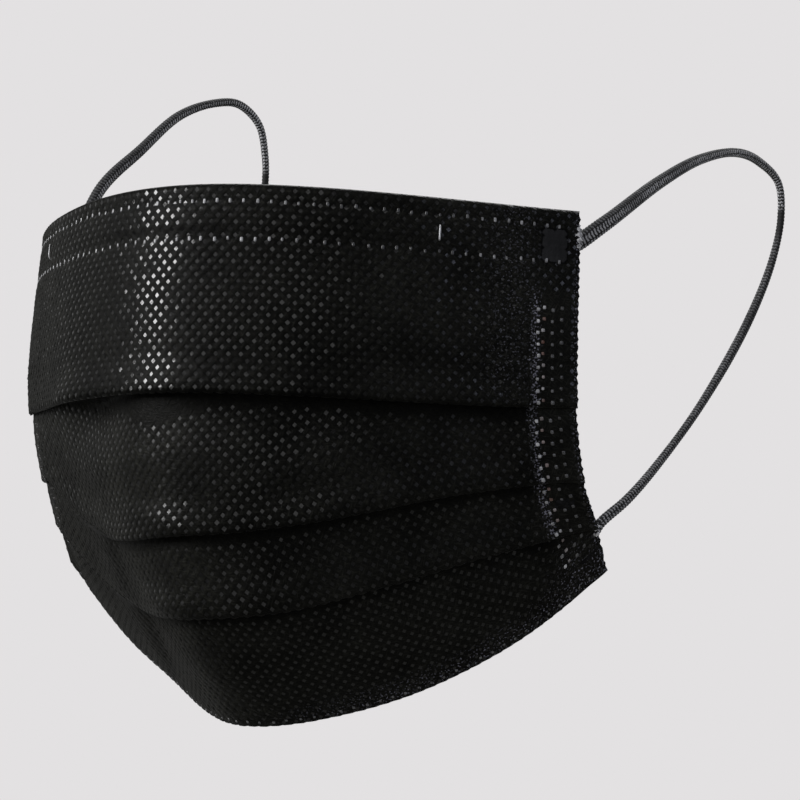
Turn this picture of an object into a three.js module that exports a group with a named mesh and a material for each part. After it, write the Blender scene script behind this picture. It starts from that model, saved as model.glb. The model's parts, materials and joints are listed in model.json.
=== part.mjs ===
// A pleated three-ply face mask with two ear loops, standing in the shape it has when worn.
//
// Frame: millimetres, +Z up, the front of the mask faces -Y and the ear loops reach back to +Y.
// The origin is the seat on the nose bridge: the middle of the top hem's inner face.
//
// The cloth is a sheet of constant width. Five crosswise lines carry it: the top edge, the three
// pleat folds and the bottom edge. Each line starts at the middle of the face and walks outwards
// along the cloth, turning back round the cheek by a heading angle and rising by a climb angle.
// Every piece is placed on that sheet by three numbers: how far sideways along the cloth, how far
// down it, and how far out from it.

import * as THREE from 'three';

// ---- Driving dimensions ------------------------------------------------------------------

const CLOTH = {
  halfWidth: 87.5,      // flat mask, middle to side edge
  innerFace: -2.0,      // inner side of the wall, measured outwards from the sheet
  freeEdge: 0,          // outer side of the wall at the top and bottom edges
  tuck: -0.8,           // outer side of the wall where a panel leaves the pleat above it
  lip: 1.0,             // outer side of the wall at a panel's lower fold
  lipThickness: 1.2,    // cloth turned over in a lower fold
  sideLift: 0.55,       // share of the pleats' height left in the welded side bands
  sideBand: 14,         // width over which the pleats flatten towards the side edge
};

const PLEAT = {
  grooveDepth: 3.0,     // how far the gap under a fold reaches up
  innerFace: -2.8,      // inner side of the three gathered layers
  gatherAbove: -0.5,    // start of the gathered layers, as a share of the panel above the fold
  gatherBelow: 0.28,    // end of the gathered layers, as a share of the panel below the fold
  gatherStep: 0.6,      // height over which the gathered layers step back to the single wall
};

const TOP_HEM = {
  start: 0.5, end: 14, outerFace: -2.3, thickness: 1.0,
  pocketStart: 4.2, pocketEnd: 9.8, pocketSlope: 1.0,
  pocketFlatFrom: 1.6,  // the pocket starts to flatten this far past the ends of the wire
  pocketFlatTo: 8,      // and is flat this far past them
};
const BOTTOM_HEM = { height: 5.5, margin: 0.5, outerFace: -2.4, thickness: 1.0 };
const NOSE_WIRE = {
  halfLength: 55.5, width: 4.0, thickness: 0.8, centre: 7.0, gap: 0.3, stations: 32,
};
const CORD = { radius: 1.05, sides: 8, steps: 76, inset: 1.2, endGap: 0.3, straightPastEdge: 1.5 };
const LOOP_END = { inner: 76, outer: 85, width: 4.4, thickness: 1.4, roundSegments: 8 };

const CLOTH_STATIONS = 25;      // steps of the wall from the middle to one side edge
const WALK_STEPS = 8;           // fine steps of the walk within one station
const PANEL_BENDS = [0.3, 0.65];  // shares of a panel where its outer face has points to curve
const LAST_INNER_BEND = -0.4;     // the same for the inner face of the last panel

// The crosswise lines. y and z place the middle of each line, and the angles are in degrees:
// noseTurn is reached over about noseRadius of cloth, cheekTurn is added up to the side edge, and
// climb and bend are the line's rise, growing with the distance and with its square.
const LINES = [
  // top edge
  { y: -3.7, z: 7.5, noseTurn: 30, noseRadius: 27, cheekTurn: 28.5, climb: -17, bend: 15.5 },
  // upper fold
  { y: -7.6, z: -36.0, noseTurn: 33, noseRadius: 23, cheekTurn: 17, climb: -12.5, bend: 12.5 },
  // middle fold
  { y: -4.0, z: -65.4, noseTurn: 34, noseRadius: 15.5, cheekTurn: 11, climb: 46.5, bend: -49 },
  // lower fold
  { y: 3.7, z: -82.5, noseTurn: 34, noseRadius: 11, cheekTurn: 6.5, climb: 58, bend: -52 },
  // bottom edge
  { y: 23.1, z: -107.7, noseTurn: 37, noseRadius: 8, cheekTurn: -33, climb: 53.5, bend: -10 },
];
const BOTTOM_LINE = LINES.length - 1;
const PANELS = [0, 1, 2, 3];
const FOLDS_UPWARDS = [3, 2, 1];

// Where the welded loop ends lie: on which line, how far down from it, and their outer face.
const LOOP_ENDS = {
  top: { line: 0, down: 6.0, out: -3.6 },
  bottom: { line: BOTTOM_LINE, down: -8.4, out: -3.1 },
};

// The free stretch of each ear loop, from the top corner over the ear to the bottom corner.
const LOOP_ROUTES = {
  right: [
    [71, 52.5, 0.5], [73.5, 75.5, 11.5], [75.5, 92.5, 18], [77.5, 108, 21], [78.5, 119, 20],
    [80, 127.5, 15.5], [80, 129, 8], [79.5, 125, -2.5], [78, 114, -17.5], [75.5, 94, -36.5],
    [73.5, 75.5, -50], [72, 61.5, -58.5],
  ],
  left: [
    [-66.5, 59, 15.5], [-64.5, 72.5, 26], [-62.5, 86.5, 36], [-60.5, 99.5, 40.5],
    [-59, 108.5, 41], [-58, 116, 36.5], [-57.5, 118, 29], [-57.5, 118, 21], [-58.5, 114, 4],
    [-61, 103, -18], [-65, 86, -38], [-69.5, 65, -56],
  ],
};

// ---- The curved sheet ----------------------------------------------------------------------

const radians = THREE.MathUtils.degToRad;

/** Direction of a line, sideways mm of cloth out from the middle of the face. */
function lineDirection(line, sideways) {
  const share = sideways / CLOTH.halfWidth;
  const noseTurn = line.noseTurn * Math.tanh(sideways / line.noseRadius);
  const heading = radians(noseTurn + line.cheekTurn * share ** 2);
  const climb = radians(line.climb * share + line.bend * share ** 2);
  return new THREE.Vector3(
    Math.cos(climb) * Math.cos(heading), Math.cos(climb) * Math.sin(heading), Math.sin(climb));
}

/** Point on the right half of a line, found by walking out from the middle. */
function walkLine(line, sideways) {
  const point = new THREE.Vector3(0, line.y, line.z);
  const steps = Math.max(1, Math.ceil(sideways / CLOTH.halfWidth * CLOTH_STATIONS) * WALK_STEPS);
  const step = sideways / steps;
  for (let i = 0; i < steps; i += 1) {
    point.addScaledVector(lineDirection(line, (i + 0.5) * step), step);
  }
  return point;
}

/** The points where all five lines pass at one distance from the middle. Left is negative. */
function crossSection(sideways) {
  return LINES.map((line) => {
    const point = walkLine(line, Math.abs(sideways));
    point.x *= Math.sign(sideways);
    return point;
  });
}

/** Unit direction of the cloth down a cross-section as it passes line i. */
function downDirection(points, i) {
  const direction = new THREE.Vector3();
  if (i > 0) {
    direction.add(points[i].clone().sub(points[i - 1]).normalize());
  }
  if (i < BOTTOM_LINE) {
    direction.add(points[i + 1].clone().sub(points[i]).normalize());
  }
  return direction.normalize();
}

/** Point on a cross-section at a place {line, share, down}: share of a panel, then mm. */
function pointDown(points, place) {
  const { line, share = 0, down = 0 } = place;
  const liesBelow = share > 0 || (share === 0 && down > 0);
  const first = THREE.MathUtils.clamp(liesBelow ? line : line - 1, 0, BOTTOM_LINE - 1);
  const height = points[first].distanceTo(points[first + 1]);
  const t = line - first + share + down / height;
  const start = downDirection(points, first).multiplyScalar(height);
  const end = downDirection(points, first + 1).multiplyScalar(height);
  return points[first].clone().multiplyScalar(2 * t ** 3 - 3 * t ** 2 + 1)
    .addScaledVector(start, t ** 3 - 2 * t ** 2 + t)
    .addScaledVector(points[first + 1], 3 * t ** 2 - 2 * t ** 3)
    .addScaledVector(end, t ** 3 - t ** 2);
}

const NUDGE = 0.2;              // mm, for the slopes of the sheet

/** Unit normal of the sheet, pointing away from the face. */
function sheetNormal(sideways, place) {
  const here = crossSection(sideways);
  const above = pointDown(here, { ...place, down: (place.down ?? 0) - NUDGE });
  const below = pointDown(here, { ...place, down: (place.down ?? 0) + NUDGE });
  const left = pointDown(crossSection(sideways - NUDGE), place);
  const right = pointDown(crossSection(sideways + NUDGE), place);
  return below.sub(above).cross(right.sub(left)).normalize();
}

/** Place a point on the sheet, then move it out along the sheet's normal. */
function onSheet(sideways, place, out) {
  const point = pointDown(crossSection(sideways), place);
  return point.addScaledVector(sheetNormal(sideways, place), out);
}

// ---- Solids that follow the sheet ----------------------------------------------------------

/**
 * A closed solid swept sideways along the sheet.
 * profile(sideways) gives its outline there, as places {line, share, down, out} in one turn.
 */
function sweptSolid(stations, profile) {
  const positions = [];
  const indices = [];
  const rings = stations.map((sideways) => profile(sideways));
  const ringSize = rings[0].length;
  rings.forEach((ring, i) => ring.forEach((place) => {
    positions.push(...onSheet(stations[i], place, place.out).toArray());
  }));
  for (let i = 0; i + 1 < rings.length; i += 1) {
    for (let j = 0; j < ringSize; j += 1) {
      const next = (j + 1) % ringSize;
      const [a, b] = [i * ringSize + j, i * ringSize + next];
      const [c, d] = [a + ringSize, b + ringSize];
      indices.push(a, b, d, a, d, c);
    }
  }
  closeEnd(rings[0], 0, false, indices);
  closeEnd(rings.at(-1), (rings.length - 1) * ringSize, true, indices);
  const geometry = new THREE.BufferGeometry();
  geometry.setAttribute('position', new THREE.Float32BufferAttribute(positions, 3));
  geometry.setIndex(indices);
  geometry.computeVertexNormals();
  return geometry;
}

const PANEL_LENGTH = 100;       // any panel's length when an outline is laid flat for its end face

/** Fill one end of a swept solid with triangles between the points of its outline. */
function closeEnd(ring, firstIndex, facesRight, indices) {
  const flat = ring.map(({ line, share = 0, down = 0, out }) => (
    new THREE.Vector2((line + share) * PANEL_LENGTH + down, out)));
  for (const [a, b, c] of THREE.ShapeUtils.triangulateShape(flat, [])) {
    const turnsLeft = flat[b].clone().sub(flat[a]).cross(flat[c].clone().sub(flat[a])) > 0;
    const order = turnsLeft === facesRight ? [a, c, b] : [a, b, c];
    indices.push(...order.map((corner) => corner + firstIndex));
  }
}

/** Evenly spaced distances from the middle, from one side to the other. */
function stationsBetween(from, to, count) {
  return Array.from({ length: count + 1 }, (_, i) => THREE.MathUtils.lerp(from, to, i / count));
}

/** Height of the pleats at one distance from the middle: whole, but flatter in the side bands. */
function pleatLift(sideways) {
  const intoBand = (Math.abs(sideways) - (CLOTH.halfWidth - CLOTH.sideBand)) / CLOTH.sideBand;
  return THREE.MathUtils.lerp(1, CLOTH.sideLift, THREE.MathUtils.smoothstep(intoBand, 0, 1));
}

/** Outer face of one panel, from the pleat above it down and round its own lower fold. */
function panelOutline(panel, lift) {
  const isFirst = panel === 0;
  const isLast = panel === BOTTOM_LINE - 1;
  const lip = CLOTH.tuck + (CLOTH.lip - CLOTH.tuck) * lift;
  const startOut = isFirst ? CLOTH.freeEdge : CLOTH.tuck;
  const endOut = isLast ? CLOTH.freeEdge : lip;
  const outline = [{ line: panel, down: isFirst ? 0 : -PLEAT.grooveDepth, out: startOut }];
  for (const share of PANEL_BENDS) {
    outline.push({ line: panel, share, out: THREE.MathUtils.lerp(startOut, endOut, share) });
  }
  if (isLast) {
    outline.push({ line: BOTTOM_LINE, out: endOut });
    return outline;
  }
  const fold = panel + 1;
  const turn = CLOTH.lipThickness / 2;
  const underLip = lip - CLOTH.lipThickness * lift;
  outline.push(
    { line: fold, down: -turn, out: lip },
    { line: fold, out: lip - turn },
    { line: fold, down: -turn, out: underLip },
    { line: fold, down: -PLEAT.grooveDepth, out: underLip },
  );
  return outline;
}

/** Inner face round one fold, from below it up: the three gathered layers stand inwards. */
function gatherOutline(fold, lift) {
  const gathered = THREE.MathUtils.lerp(CLOTH.innerFace, PLEAT.innerFace, lift);
  return [
    { line: fold, share: PLEAT.gatherBelow, out: CLOTH.innerFace },
    { line: fold, out: gathered },
    { line: fold, share: PLEAT.gatherAbove, out: gathered },
    { line: fold, share: PLEAT.gatherAbove, down: -PLEAT.gatherStep, out: CLOTH.innerFace },
  ];
}

/** The pleated cloth: four panels lapped like shingles, each fold pointing down. */
function maskBody() {
  const stations = stationsBetween(-CLOTH.halfWidth, CLOTH.halfWidth, 2 * CLOTH_STATIONS);
  return sweptSolid(stations, (sideways) => {
    const lift = pleatLift(sideways);
    const outer = PANELS.flatMap((panel) => panelOutline(panel, lift));
    const inner = FOLDS_UPWARDS.flatMap((fold) => gatherOutline(fold, lift));
    return [
      ...outer,
      { line: BOTTOM_LINE, out: CLOTH.innerFace },
      { line: BOTTOM_LINE, share: LAST_INNER_BEND, out: CLOTH.innerFace },
      ...inner,
      { line: 0, out: CLOTH.innerFace },
    ];
  });
}

/** Depth of the wire's pocket in the top hem: it flattens just past the ends of the wire. */
function pocketDepth(sideways) {
  const { halfLength, thickness, gap } = NOSE_WIRE;
  const { pocketFlatFrom, pocketFlatTo } = TOP_HEM;
  const pastEnd = Math.abs(sideways) - halfLength;
  const flattening = THREE.MathUtils.smoothstep(pastEnd, pocketFlatFrom, pocketFlatTo);
  return (thickness + gap) * (1 - flattening);
}

/** The cloth turned over the top edge, with the pocket that holds the nose wire. */
function topHem() {
  const { start, end, outerFace, thickness, pocketStart, pocketEnd, pocketSlope } = TOP_HEM;
  const stations = stationsBetween(-CLOTH.halfWidth, CLOTH.halfWidth, 2 * CLOTH_STATIONS);
  return sweptSolid(stations, (sideways) => {
    const pocketFace = outerFace - pocketDepth(sideways);
    const outer = [
      { line: 0, down: start, out: outerFace },
      { line: 0, down: pocketStart - pocketSlope, out: outerFace },
      { line: 0, down: pocketStart, out: pocketFace },
      { line: 0, down: pocketEnd, out: pocketFace },
      { line: 0, down: pocketEnd + pocketSlope, out: outerFace },
      { line: 0, down: end, out: outerFace },
    ];
    const inner = outer.map((place) => ({ ...place, out: place.out - thickness })).reverse();
    return [...outer, ...inner];
  });
}

/** The cloth turned over the bottom edge. */
function bottomHem() {
  const { height, margin, outerFace, thickness } = BOTTOM_HEM;
  const stations = stationsBetween(-CLOTH.halfWidth, CLOTH.halfWidth, 2 * CLOTH_STATIONS);
  return sweptSolid(stations, () => band(BOTTOM_LINE, -height, -margin, outerFace, thickness));
}

/** The flat wire that is bent over the nose, inside the pocket of the top hem. */
function noseWire() {
  const { halfLength, width, thickness, centre, gap } = NOSE_WIRE;
  const stations = stationsBetween(-halfLength, halfLength, NOSE_WIRE.stations);
  const [top, bottom] = [centre - width / 2, centre + width / 2];
  return sweptSolid(stations, () => band(0, top, bottom, CLOTH.innerFace - gap, thickness));
}

/** Outline of a plain flat band below one line. */
function band(line, top, bottom, outerFace, thickness) {
  return [
    { line, down: top, out: outerFace },
    { line, down: bottom, out: outerFace },
    { line, down: bottom, out: outerFace - thickness },
    { line, down: top, out: outerFace - thickness },
  ];
}

// ---- Ear loops -------------------------------------------------------------------------------

/** The flattened end of an ear loop, welded to the inside of a corner. side is 1 or -1. */
function loopEnd(side, corner) {
  const { inner, outer, width, thickness, roundSegments } = LOOP_END;
  const length = outer - inner;
  const radius = width / 2;
  const outline = new THREE.Shape();
  outline.moveTo(0, -radius);
  outline.lineTo(0, radius);
  outline.lineTo(radius - length, radius);
  outline.absarc(radius - length, 0, radius, Math.PI / 2, -Math.PI / 2, false);
  const pad = new THREE.ExtrudeGeometry(
    outline, { depth: thickness, bevelEnabled: false, curveSegments: roundSegments });

  const place = LOOP_ENDS[corner];
  const innerFace = place.out - thickness;
  const normal = sheetNormal(side * outer, place);
  const origin = onSheet(side * outer, place, innerFace);
  const along = origin.clone().sub(onSheet(side * inner, place, innerFace)).normalize();
  const across = normal.clone().cross(along).normalize();
  const outwards = along.clone().cross(across);
  return pad.applyMatrix4(new THREE.Matrix4().makeBasis(along, across, outwards).setPosition(origin));
}

/** The straight lead of a cord along the inside of a corner, from its welded end past the edge. */
function cordLead(side, corner) {
  const place = LOOP_ENDS[corner];
  const start = LOOP_END.outer + CORD.endGap;
  const clear = CLOTH.halfWidth + CORD.straightPastEdge;
  return stationsBetween(start, clear, 2).map((sideways) => (
    onSheet(side * sideways, place, place.out - CORD.inset)));
}

/** The round elastic cord of one ear loop, from its top corner to its bottom corner. */
function earLoop(side, route) {
  const points = [
    ...cordLead(side, 'top'),
    ...route.map((point) => new THREE.Vector3(...point)),
    ...cordLead(side, 'bottom').reverse(),
  ];
  const path = new THREE.CatmullRomCurve3(points, false, 'centripetal');
  const corners = Array.from({ length: CORD.sides }, (_, i) => {
    const angle = 2 * Math.PI * i / CORD.sides;
    return new THREE.Vector2(CORD.radius * Math.cos(angle), CORD.radius * Math.sin(angle));
  });
  const section = new THREE.Shape(corners);
  return new THREE.ExtrudeGeometry(
    section, { steps: CORD.steps, bevelEnabled: false, extrudePath: path });
}

// ---- Assembly --------------------------------------------------------------------------------

const FINISHES = {
  outerCloth: { color: 0x0e0e11, roughness: 0.55, metalness: 0 },
  innerCloth: { color: 0x17171a, roughness: 0.75, metalness: 0 },
  elastic: { color: 0x2a2b2f, roughness: 0.9, metalness: 0 },
  wire: { color: 0xb4b6b8, roughness: 0.4, metalness: 1 },
};

const mask = new THREE.Group();

/** Add one named piece to the mask. */
function addPiece(name, geometry, finish) {
  const piece = new THREE.Mesh(geometry, new THREE.MeshStandardMaterial(FINISHES[finish]));
  piece.name = name;
  mask.add(piece);
}

addPiece('mask_body', maskBody(), 'outerCloth');
addPiece('top_hem', topHem(), 'innerCloth');
addPiece('bottom_hem', bottomHem(), 'innerCloth');
addPiece('nose_wire', noseWire(), 'wire');
for (const [sideName, side] of [['right', 1], ['left', -1]]) {
  for (const corner of ['top', 'bottom']) {
    addPiece(`loop_end_${corner}_${sideName}`, loopEnd(side, corner), 'elastic');
  }
  addPiece(`ear_loop_${sideName}`, earLoop(side, LOOP_ROUTES[sideName]), 'elastic');
}

export default mask;
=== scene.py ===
"""Looks of a pleated three-ply face mask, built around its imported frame.

The tables hold millimetres. Every mesh is in metres, in the frame's axes: +Z up, the front of
the mask faces -Y and the ear loops reach back to +Y.

The cloth is one flat cut, 175 mm wide. A place on it has two numbers: s, sideways from its
middle, and t, down the cloth from its top edge, measured through every fold.
"""

import json
import logging
import math
from dataclasses import dataclass
from enum import Enum
from typing import Any, Sequence

import bpy
import numpy as np
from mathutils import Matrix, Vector

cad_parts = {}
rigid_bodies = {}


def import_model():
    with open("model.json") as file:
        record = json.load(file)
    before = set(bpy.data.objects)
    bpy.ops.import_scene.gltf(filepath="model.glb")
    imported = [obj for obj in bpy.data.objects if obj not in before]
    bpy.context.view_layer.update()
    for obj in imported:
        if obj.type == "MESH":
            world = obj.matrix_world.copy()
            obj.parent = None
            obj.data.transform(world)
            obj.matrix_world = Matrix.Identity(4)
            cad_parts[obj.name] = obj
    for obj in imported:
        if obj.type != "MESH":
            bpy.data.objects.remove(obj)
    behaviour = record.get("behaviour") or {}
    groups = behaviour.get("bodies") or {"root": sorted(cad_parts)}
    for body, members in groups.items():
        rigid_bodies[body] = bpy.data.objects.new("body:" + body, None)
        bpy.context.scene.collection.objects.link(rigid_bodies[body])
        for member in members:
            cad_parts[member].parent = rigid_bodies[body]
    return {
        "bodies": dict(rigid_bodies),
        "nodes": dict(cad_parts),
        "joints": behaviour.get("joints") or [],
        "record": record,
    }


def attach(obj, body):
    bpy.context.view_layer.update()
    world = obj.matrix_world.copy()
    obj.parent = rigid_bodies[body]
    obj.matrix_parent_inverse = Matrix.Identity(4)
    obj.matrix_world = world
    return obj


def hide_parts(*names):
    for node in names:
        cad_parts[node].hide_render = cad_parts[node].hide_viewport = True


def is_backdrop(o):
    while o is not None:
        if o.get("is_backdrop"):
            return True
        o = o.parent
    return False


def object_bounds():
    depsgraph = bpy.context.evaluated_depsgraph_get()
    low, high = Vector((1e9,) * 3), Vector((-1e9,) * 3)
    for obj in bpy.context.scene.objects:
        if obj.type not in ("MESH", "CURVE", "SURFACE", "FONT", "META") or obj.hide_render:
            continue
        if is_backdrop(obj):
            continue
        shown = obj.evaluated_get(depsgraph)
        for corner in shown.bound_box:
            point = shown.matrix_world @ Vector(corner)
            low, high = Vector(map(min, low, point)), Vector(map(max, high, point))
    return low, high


MM = 0.001
SEED = 7

Array = np.ndarray
Material = bpy.types.Material
Socket = bpy.types.NodeSocket
Numbers = tuple[float, ...]
Table = tuple[Numbers, ...]
log = logging.getLogger("mask")


class Side(Enum):
    """A side of the mask, and its sign along X."""

    RIGHT = 1
    LEFT = -1


class Slot(Enum):
    """Material slots of the record."""

    OUTER_CLOTH = "outer_cloth"
    INNER_CLOTH = "inner_cloth"
    ELASTIC = "elastic"
    WIRE = "wire"


def linear(hex_colour: str) -> tuple[float, float, float, float]:
    """Turn an sRGB hex colour into linear values.

    Args:
        hex_colour: Six hex digits.

    Returns:
        Red, green and blue, and an alpha of 1.
    """
    channels = [int(hex_colour[i:i + 2], 16) / 255 for i in (0, 2, 4)]
    red, green, blue = (
        c / 12.92 if c <= 0.04045 else ((c + 0.055) / 1.055) ** 2.4 for c in channels)
    return red, green, blue, 1.0


def smooth(x: Array | float, low: float, high: float) -> Array:
    """Rise smoothly from 0 at low to 1 at high."""
    share = np.clip((np.asarray(x, float) - low) / (high - low), 0, 1)
    return share * share * (3 - 2 * share)


def mix(a: Any, b: Any, share: Any) -> Any:
    """Go from a to b by a share."""
    return a + (b - a) * share


def bell(x: Array, width: float) -> Array:
    """Bell curve of height 1 and that width."""
    return np.exp(-(x / width) ** 2)


def unit(vectors: Array) -> Array:
    """Scale vectors to length 1."""
    return vectors / np.maximum(np.linalg.norm(vectors, axis=-1, keepdims=True), 1e-12)


# ---- Meshes ----


def make_mesh(name: str, points: Array, faces: Sequence[Array], uv: Array | None = None,
              values: dict[str, Array] | None = None,
              finishes: Sequence[int] | None = None) -> bpy.types.Object:
    """Make a smooth-shaded mesh object at the origin.

    Args:
        name: The piece's name.
        points: Points in millimetres.
        faces: Arrays of faces, each array with one number of corners.
        uv: A UV place for each point.
        values: Named numbers for each point, as attributes.
        finishes: The material's number for each array of faces.

    Returns:
        The new object.
    """
    mesh = bpy.data.meshes.new(name)
    corners = np.concatenate([f.ravel() for f in faces]).astype(np.int32)
    sizes = np.concatenate([np.full(len(f), f.shape[1]) for f in faces])
    starts = np.concatenate([[0], np.cumsum(sizes)[:-1]]).astype(np.int32)
    mesh.vertices.add(len(points))
    mesh.vertices.foreach_set("co", (points * MM).astype(np.float32).ravel())
    mesh.loops.add(len(corners))
    mesh.loops.foreach_set("vertex_index", corners)
    mesh.polygons.add(len(starts))
    mesh.polygons.foreach_set("loop_start", starts)
    mesh.polygons.foreach_set("use_smooth", np.ones(len(starts), bool))
    if finishes is not None:
        numbers = np.concatenate([np.full(len(f), n) for f, n in zip(faces, finishes)])
        mesh.polygons.foreach_set("material_index", numbers.astype(np.int32))
    if uv is not None:
        layer = mesh.uv_layers.new(name="cloth_map")
        layer.data.foreach_set("uv", uv[corners].astype(np.float32).ravel())
    for attribute_name, numbers in (values or {}).items():
        attribute = mesh.attributes.new(attribute_name, "FLOAT", "POINT")
        attribute.data.foreach_set("value", numbers.astype(np.float32))
    mesh.update(calc_edges=True)
    mesh.validate()
    piece = bpy.data.objects.new(name, mesh)
    bpy.context.scene.collection.objects.link(piece)
    return piece


def grid_faces(rows: int, columns: int, wraps: bool = False, start: int = 0) -> Array:
    """Quads of a grid whose points are numbered row by row.

    Args:
        rows: Number of rows of points.
        columns: Number of points in a row.
        wraps: Whether the last column joins the first.
        start: Number of the first point.

    Returns:
        An array of quads.
    """
    i, j = np.meshgrid(np.arange(rows - 1), np.arange(columns - (not wraps)), indexing="ij")
    following = (j + 1) % columns
    quads = np.stack([i * columns + j, i * columns + following,
                      (i + 1) * columns + following, (i + 1) * columns + j], -1)
    return quads.reshape(-1, 4) + start


def ride(piece: bpy.types.Object, slot: Slot, *replaced: str) -> None:
    """Tie a finished piece to the frame, and log it.

    Args:
        piece: The piece.
        slot: What it is made of; not used.
        *replaced: CAD nodes that it stands for.
    """
    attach(piece, "root")
    if replaced:
        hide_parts(*replaced)
    log.info("%s: %d faces", piece.name, len(piece.data.polygons))


# ---- The curved sheet ----


@dataclass(frozen=True)
class CrossLine:
    """A line across the mask: its middle's place in mm and its turns in degrees."""

    y: float
    z: float
    nose_turn: float
    nose_radius: float
    cheek_turn: float
    climb: float
    bend: float

    def walk(self, s: Array, half_width: float) -> Array:
        """Points at the distances s along the right half of the line.

        Args:
            s: Distances from the middle, rising from 0.
            half_width: Half the sheet's width.

        Returns:
            The points.
        """
        middle = (s[:-1] + s[1:]) / 2
        share = middle / half_width
        heading = np.radians(
            self.nose_turn * np.tanh(middle / self.nose_radius) + self.cheek_turn * share ** 2)
        climb = np.radians(self.climb * share + self.bend * share ** 2)
        steps = np.stack([np.cos(climb) * np.cos(heading), np.cos(climb) * np.sin(heading),
                          np.sin(climb)], 1) * np.diff(s)[:, None]
        start = np.array([0, self.y, self.z])
        return np.concatenate([[start], start + np.cumsum(steps, 0)])


@dataclass(init=False)
class CurvedSheet:
    """The smooth surface that carries every piece, through the five lines across the mask.

    A row is a place down it: 0 is the top edge, 1 to 3 are the folds and 4 is the bottom edge.
    """

    half_width: float = 87.5
    reach: float = 92.0
    steps: int = 1840
    nudge: float = 0.2
    # they slide between the first two, in s left, up to the last two
    slides: Numbers = (-5, 38, 50, 78)
    waves: Table = ((1.0, 0.11, 2.1, 0.0), (1.0, 0.053, -4.6, 1.3), (0.6, 0.21, 3.2, 0.4))
    slack: Numbers = (0.04, 0.15)  # mm of those waves above the first fold, and below it
    # where the left jaw is fuller: its middle in s, its width, and mm
    jaw: Numbers = (-70.0, 26.0, 2.1)
    jaw_rows: Numbers = (1.7, 3.2)
    slide: float = 6.0  # mm by which the two lower folds run lower on the left cheek
    lines: tuple[CrossLine, ...] = (
        CrossLine(-3.7, 7.5, 30, 27, 28.5, -17, 15.5),
        CrossLine(-7.6, -36.0, 33, 23, 17, -12.5, 12.5),
        CrossLine(-4.0, -65.4, 34, 15.5, 11, 46.5, -49),
        CrossLine(3.7, -82.5, 34, 11, 6.5, 58, -52),
        CrossLine(23.1, -107.7, 37, 8, -33, 53.5, -10),
    )

    def __init__(self) -> None:
        """Walk the lines once, and keep their points."""
        self._s = np.linspace(0, self.reach, self.steps + 1)
        self._walks = [line.walk(self._s, self.half_width) for line in self.lines]

    def section(self, s: Array) -> Array:
        """Where the five lines pass at the distances s.

        Args:
            s: Distances from the middle.

        Returns:
            Points, as an array (distances, lines, xyz).
        """
        away = np.abs(s)
        lines = []
        for walk in self._walks:
            place = np.stack([np.interp(away, self._s, walk[:, k]) for k in range(3)], -1)
            place[:, 0] *= np.where(s < 0, -1, 1)
            lines.append(place)
        slide = self.slide * smooth(-s, *self.slides[:2]) * (1 - smooth(-s, *self.slides[2:]))
        for i in (2, 3):
            lines[i] = lines[i] + unit(lines[i + 1] - lines[i]) * slide[:, None]
        return np.stack(lines, 1)

    def heights(self, s: Array) -> Array:
        """Heights of the four panels at the distances s."""
        return np.linalg.norm(np.diff(self.section(s), axis=1), axis=-1)

    def point(self, s: Array, row: Array) -> Array:
        """Points of the sheet at the distances s and the rows.

        Args:
            s: Distances from the middle.
            row: Rows of the sheet.

        Returns:
            The points.
        """
        section = self.section(s)
        chords = unit(np.diff(section, axis=1))
        slopes = np.concatenate([chords[:, :1], unit(chords[:, :-1] + chords[:, 1:]),
                                 chords[:, -1:]], 1)
        first = np.clip(np.floor(row), 0, len(self.lines) - 2).astype(int)
        each = np.arange(len(s))
        a, b = section[each, first], section[each, first + 1]
        height = np.linalg.norm(b - a, axis=1, keepdims=True)
        q = (row - first)[:, None]
        return (a * (2 * q ** 3 - 3 * q ** 2 + 1) + b * (3 * q ** 2 - 2 * q ** 3)
                + slopes[each, first] * height * (q ** 3 - 2 * q ** 2 + q)
                + slopes[each, first + 1] * height * (q ** 3 - q ** 2))

    def unevenness(self, s: Array, row: Array) -> Array:
        """How far soft waves and the fuller left jaw lift the sheet, in mm outwards.

        Args:
            s: Distances from the middle.
            row: Rows of the sheet.

        Returns:
            Lifts in mm.
        """
        waves = sum(share * np.sin(s * along + row * down + start)
                    for share, along, down, start in self.waves)
        slack = mix(*self.slack, smooth(row, 0.9, 1.2))
        middle, width, most = self.jaw
        fuller = most * bell(s - middle, width) * smooth(row, *self.jaw_rows)
        return waves * slack * smooth(self.half_width - np.abs(s), 0, 6) + fuller

    def place(self, s: Array, row: Array, out: Array) -> Array:
        """Points at a distance out from the sheet, away from the face.

        Args:
            s: Distances from the middle.
            row: Rows of the sheet.
            out: Distances out, in mm.

        Returns:
            The points.
        """
        out = out + self.unevenness(s, row)
        first = np.clip(np.floor(row), 0, len(self.lines) - 2).astype(int)
        step = self.nudge / self.heights(s)[np.arange(len(s)), first]
        down = self.point(s, row + step) - self.point(s, row - step)
        right = self.point(s + self.nudge, row) - self.point(s - self.nudge, row)
        return self.point(s, row) + unit(np.cross(down, right)) * out[:, None]


# ---- The folded cloth ----


@dataclass
class FoldState:
    """One fold at many places along it. Lengths in mm and angles in radians."""

    angle: Array
    radius: Array
    overlap: Array
    lip: Array
    kick: Array
    recess: Array

    def start(self) -> Array:
        """Where the lip's turn starts, measured down from the fold line."""
        return -self.radius * np.sin(np.minimum(self.angle, math.pi / 2))

    def end(self) -> Array:
        """Where the next panel starts, measured down from the fold line."""
        return (self.start() + 2 * self.radius * np.sin(self.angle)
                + self.overlap * np.cos(self.angle))

    def tuck(self) -> Array:
        """How far out the next panel starts."""
        return (self.lip - 2 * self.radius * (1 - np.cos(self.angle))
                - self.overlap * np.sin(self.angle))

    def length(self) -> Array:
        """Cloth from the lip's lowest point to the start of the next panel."""
        return 1.5 * self.radius * self.angle + self.overlap


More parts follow.
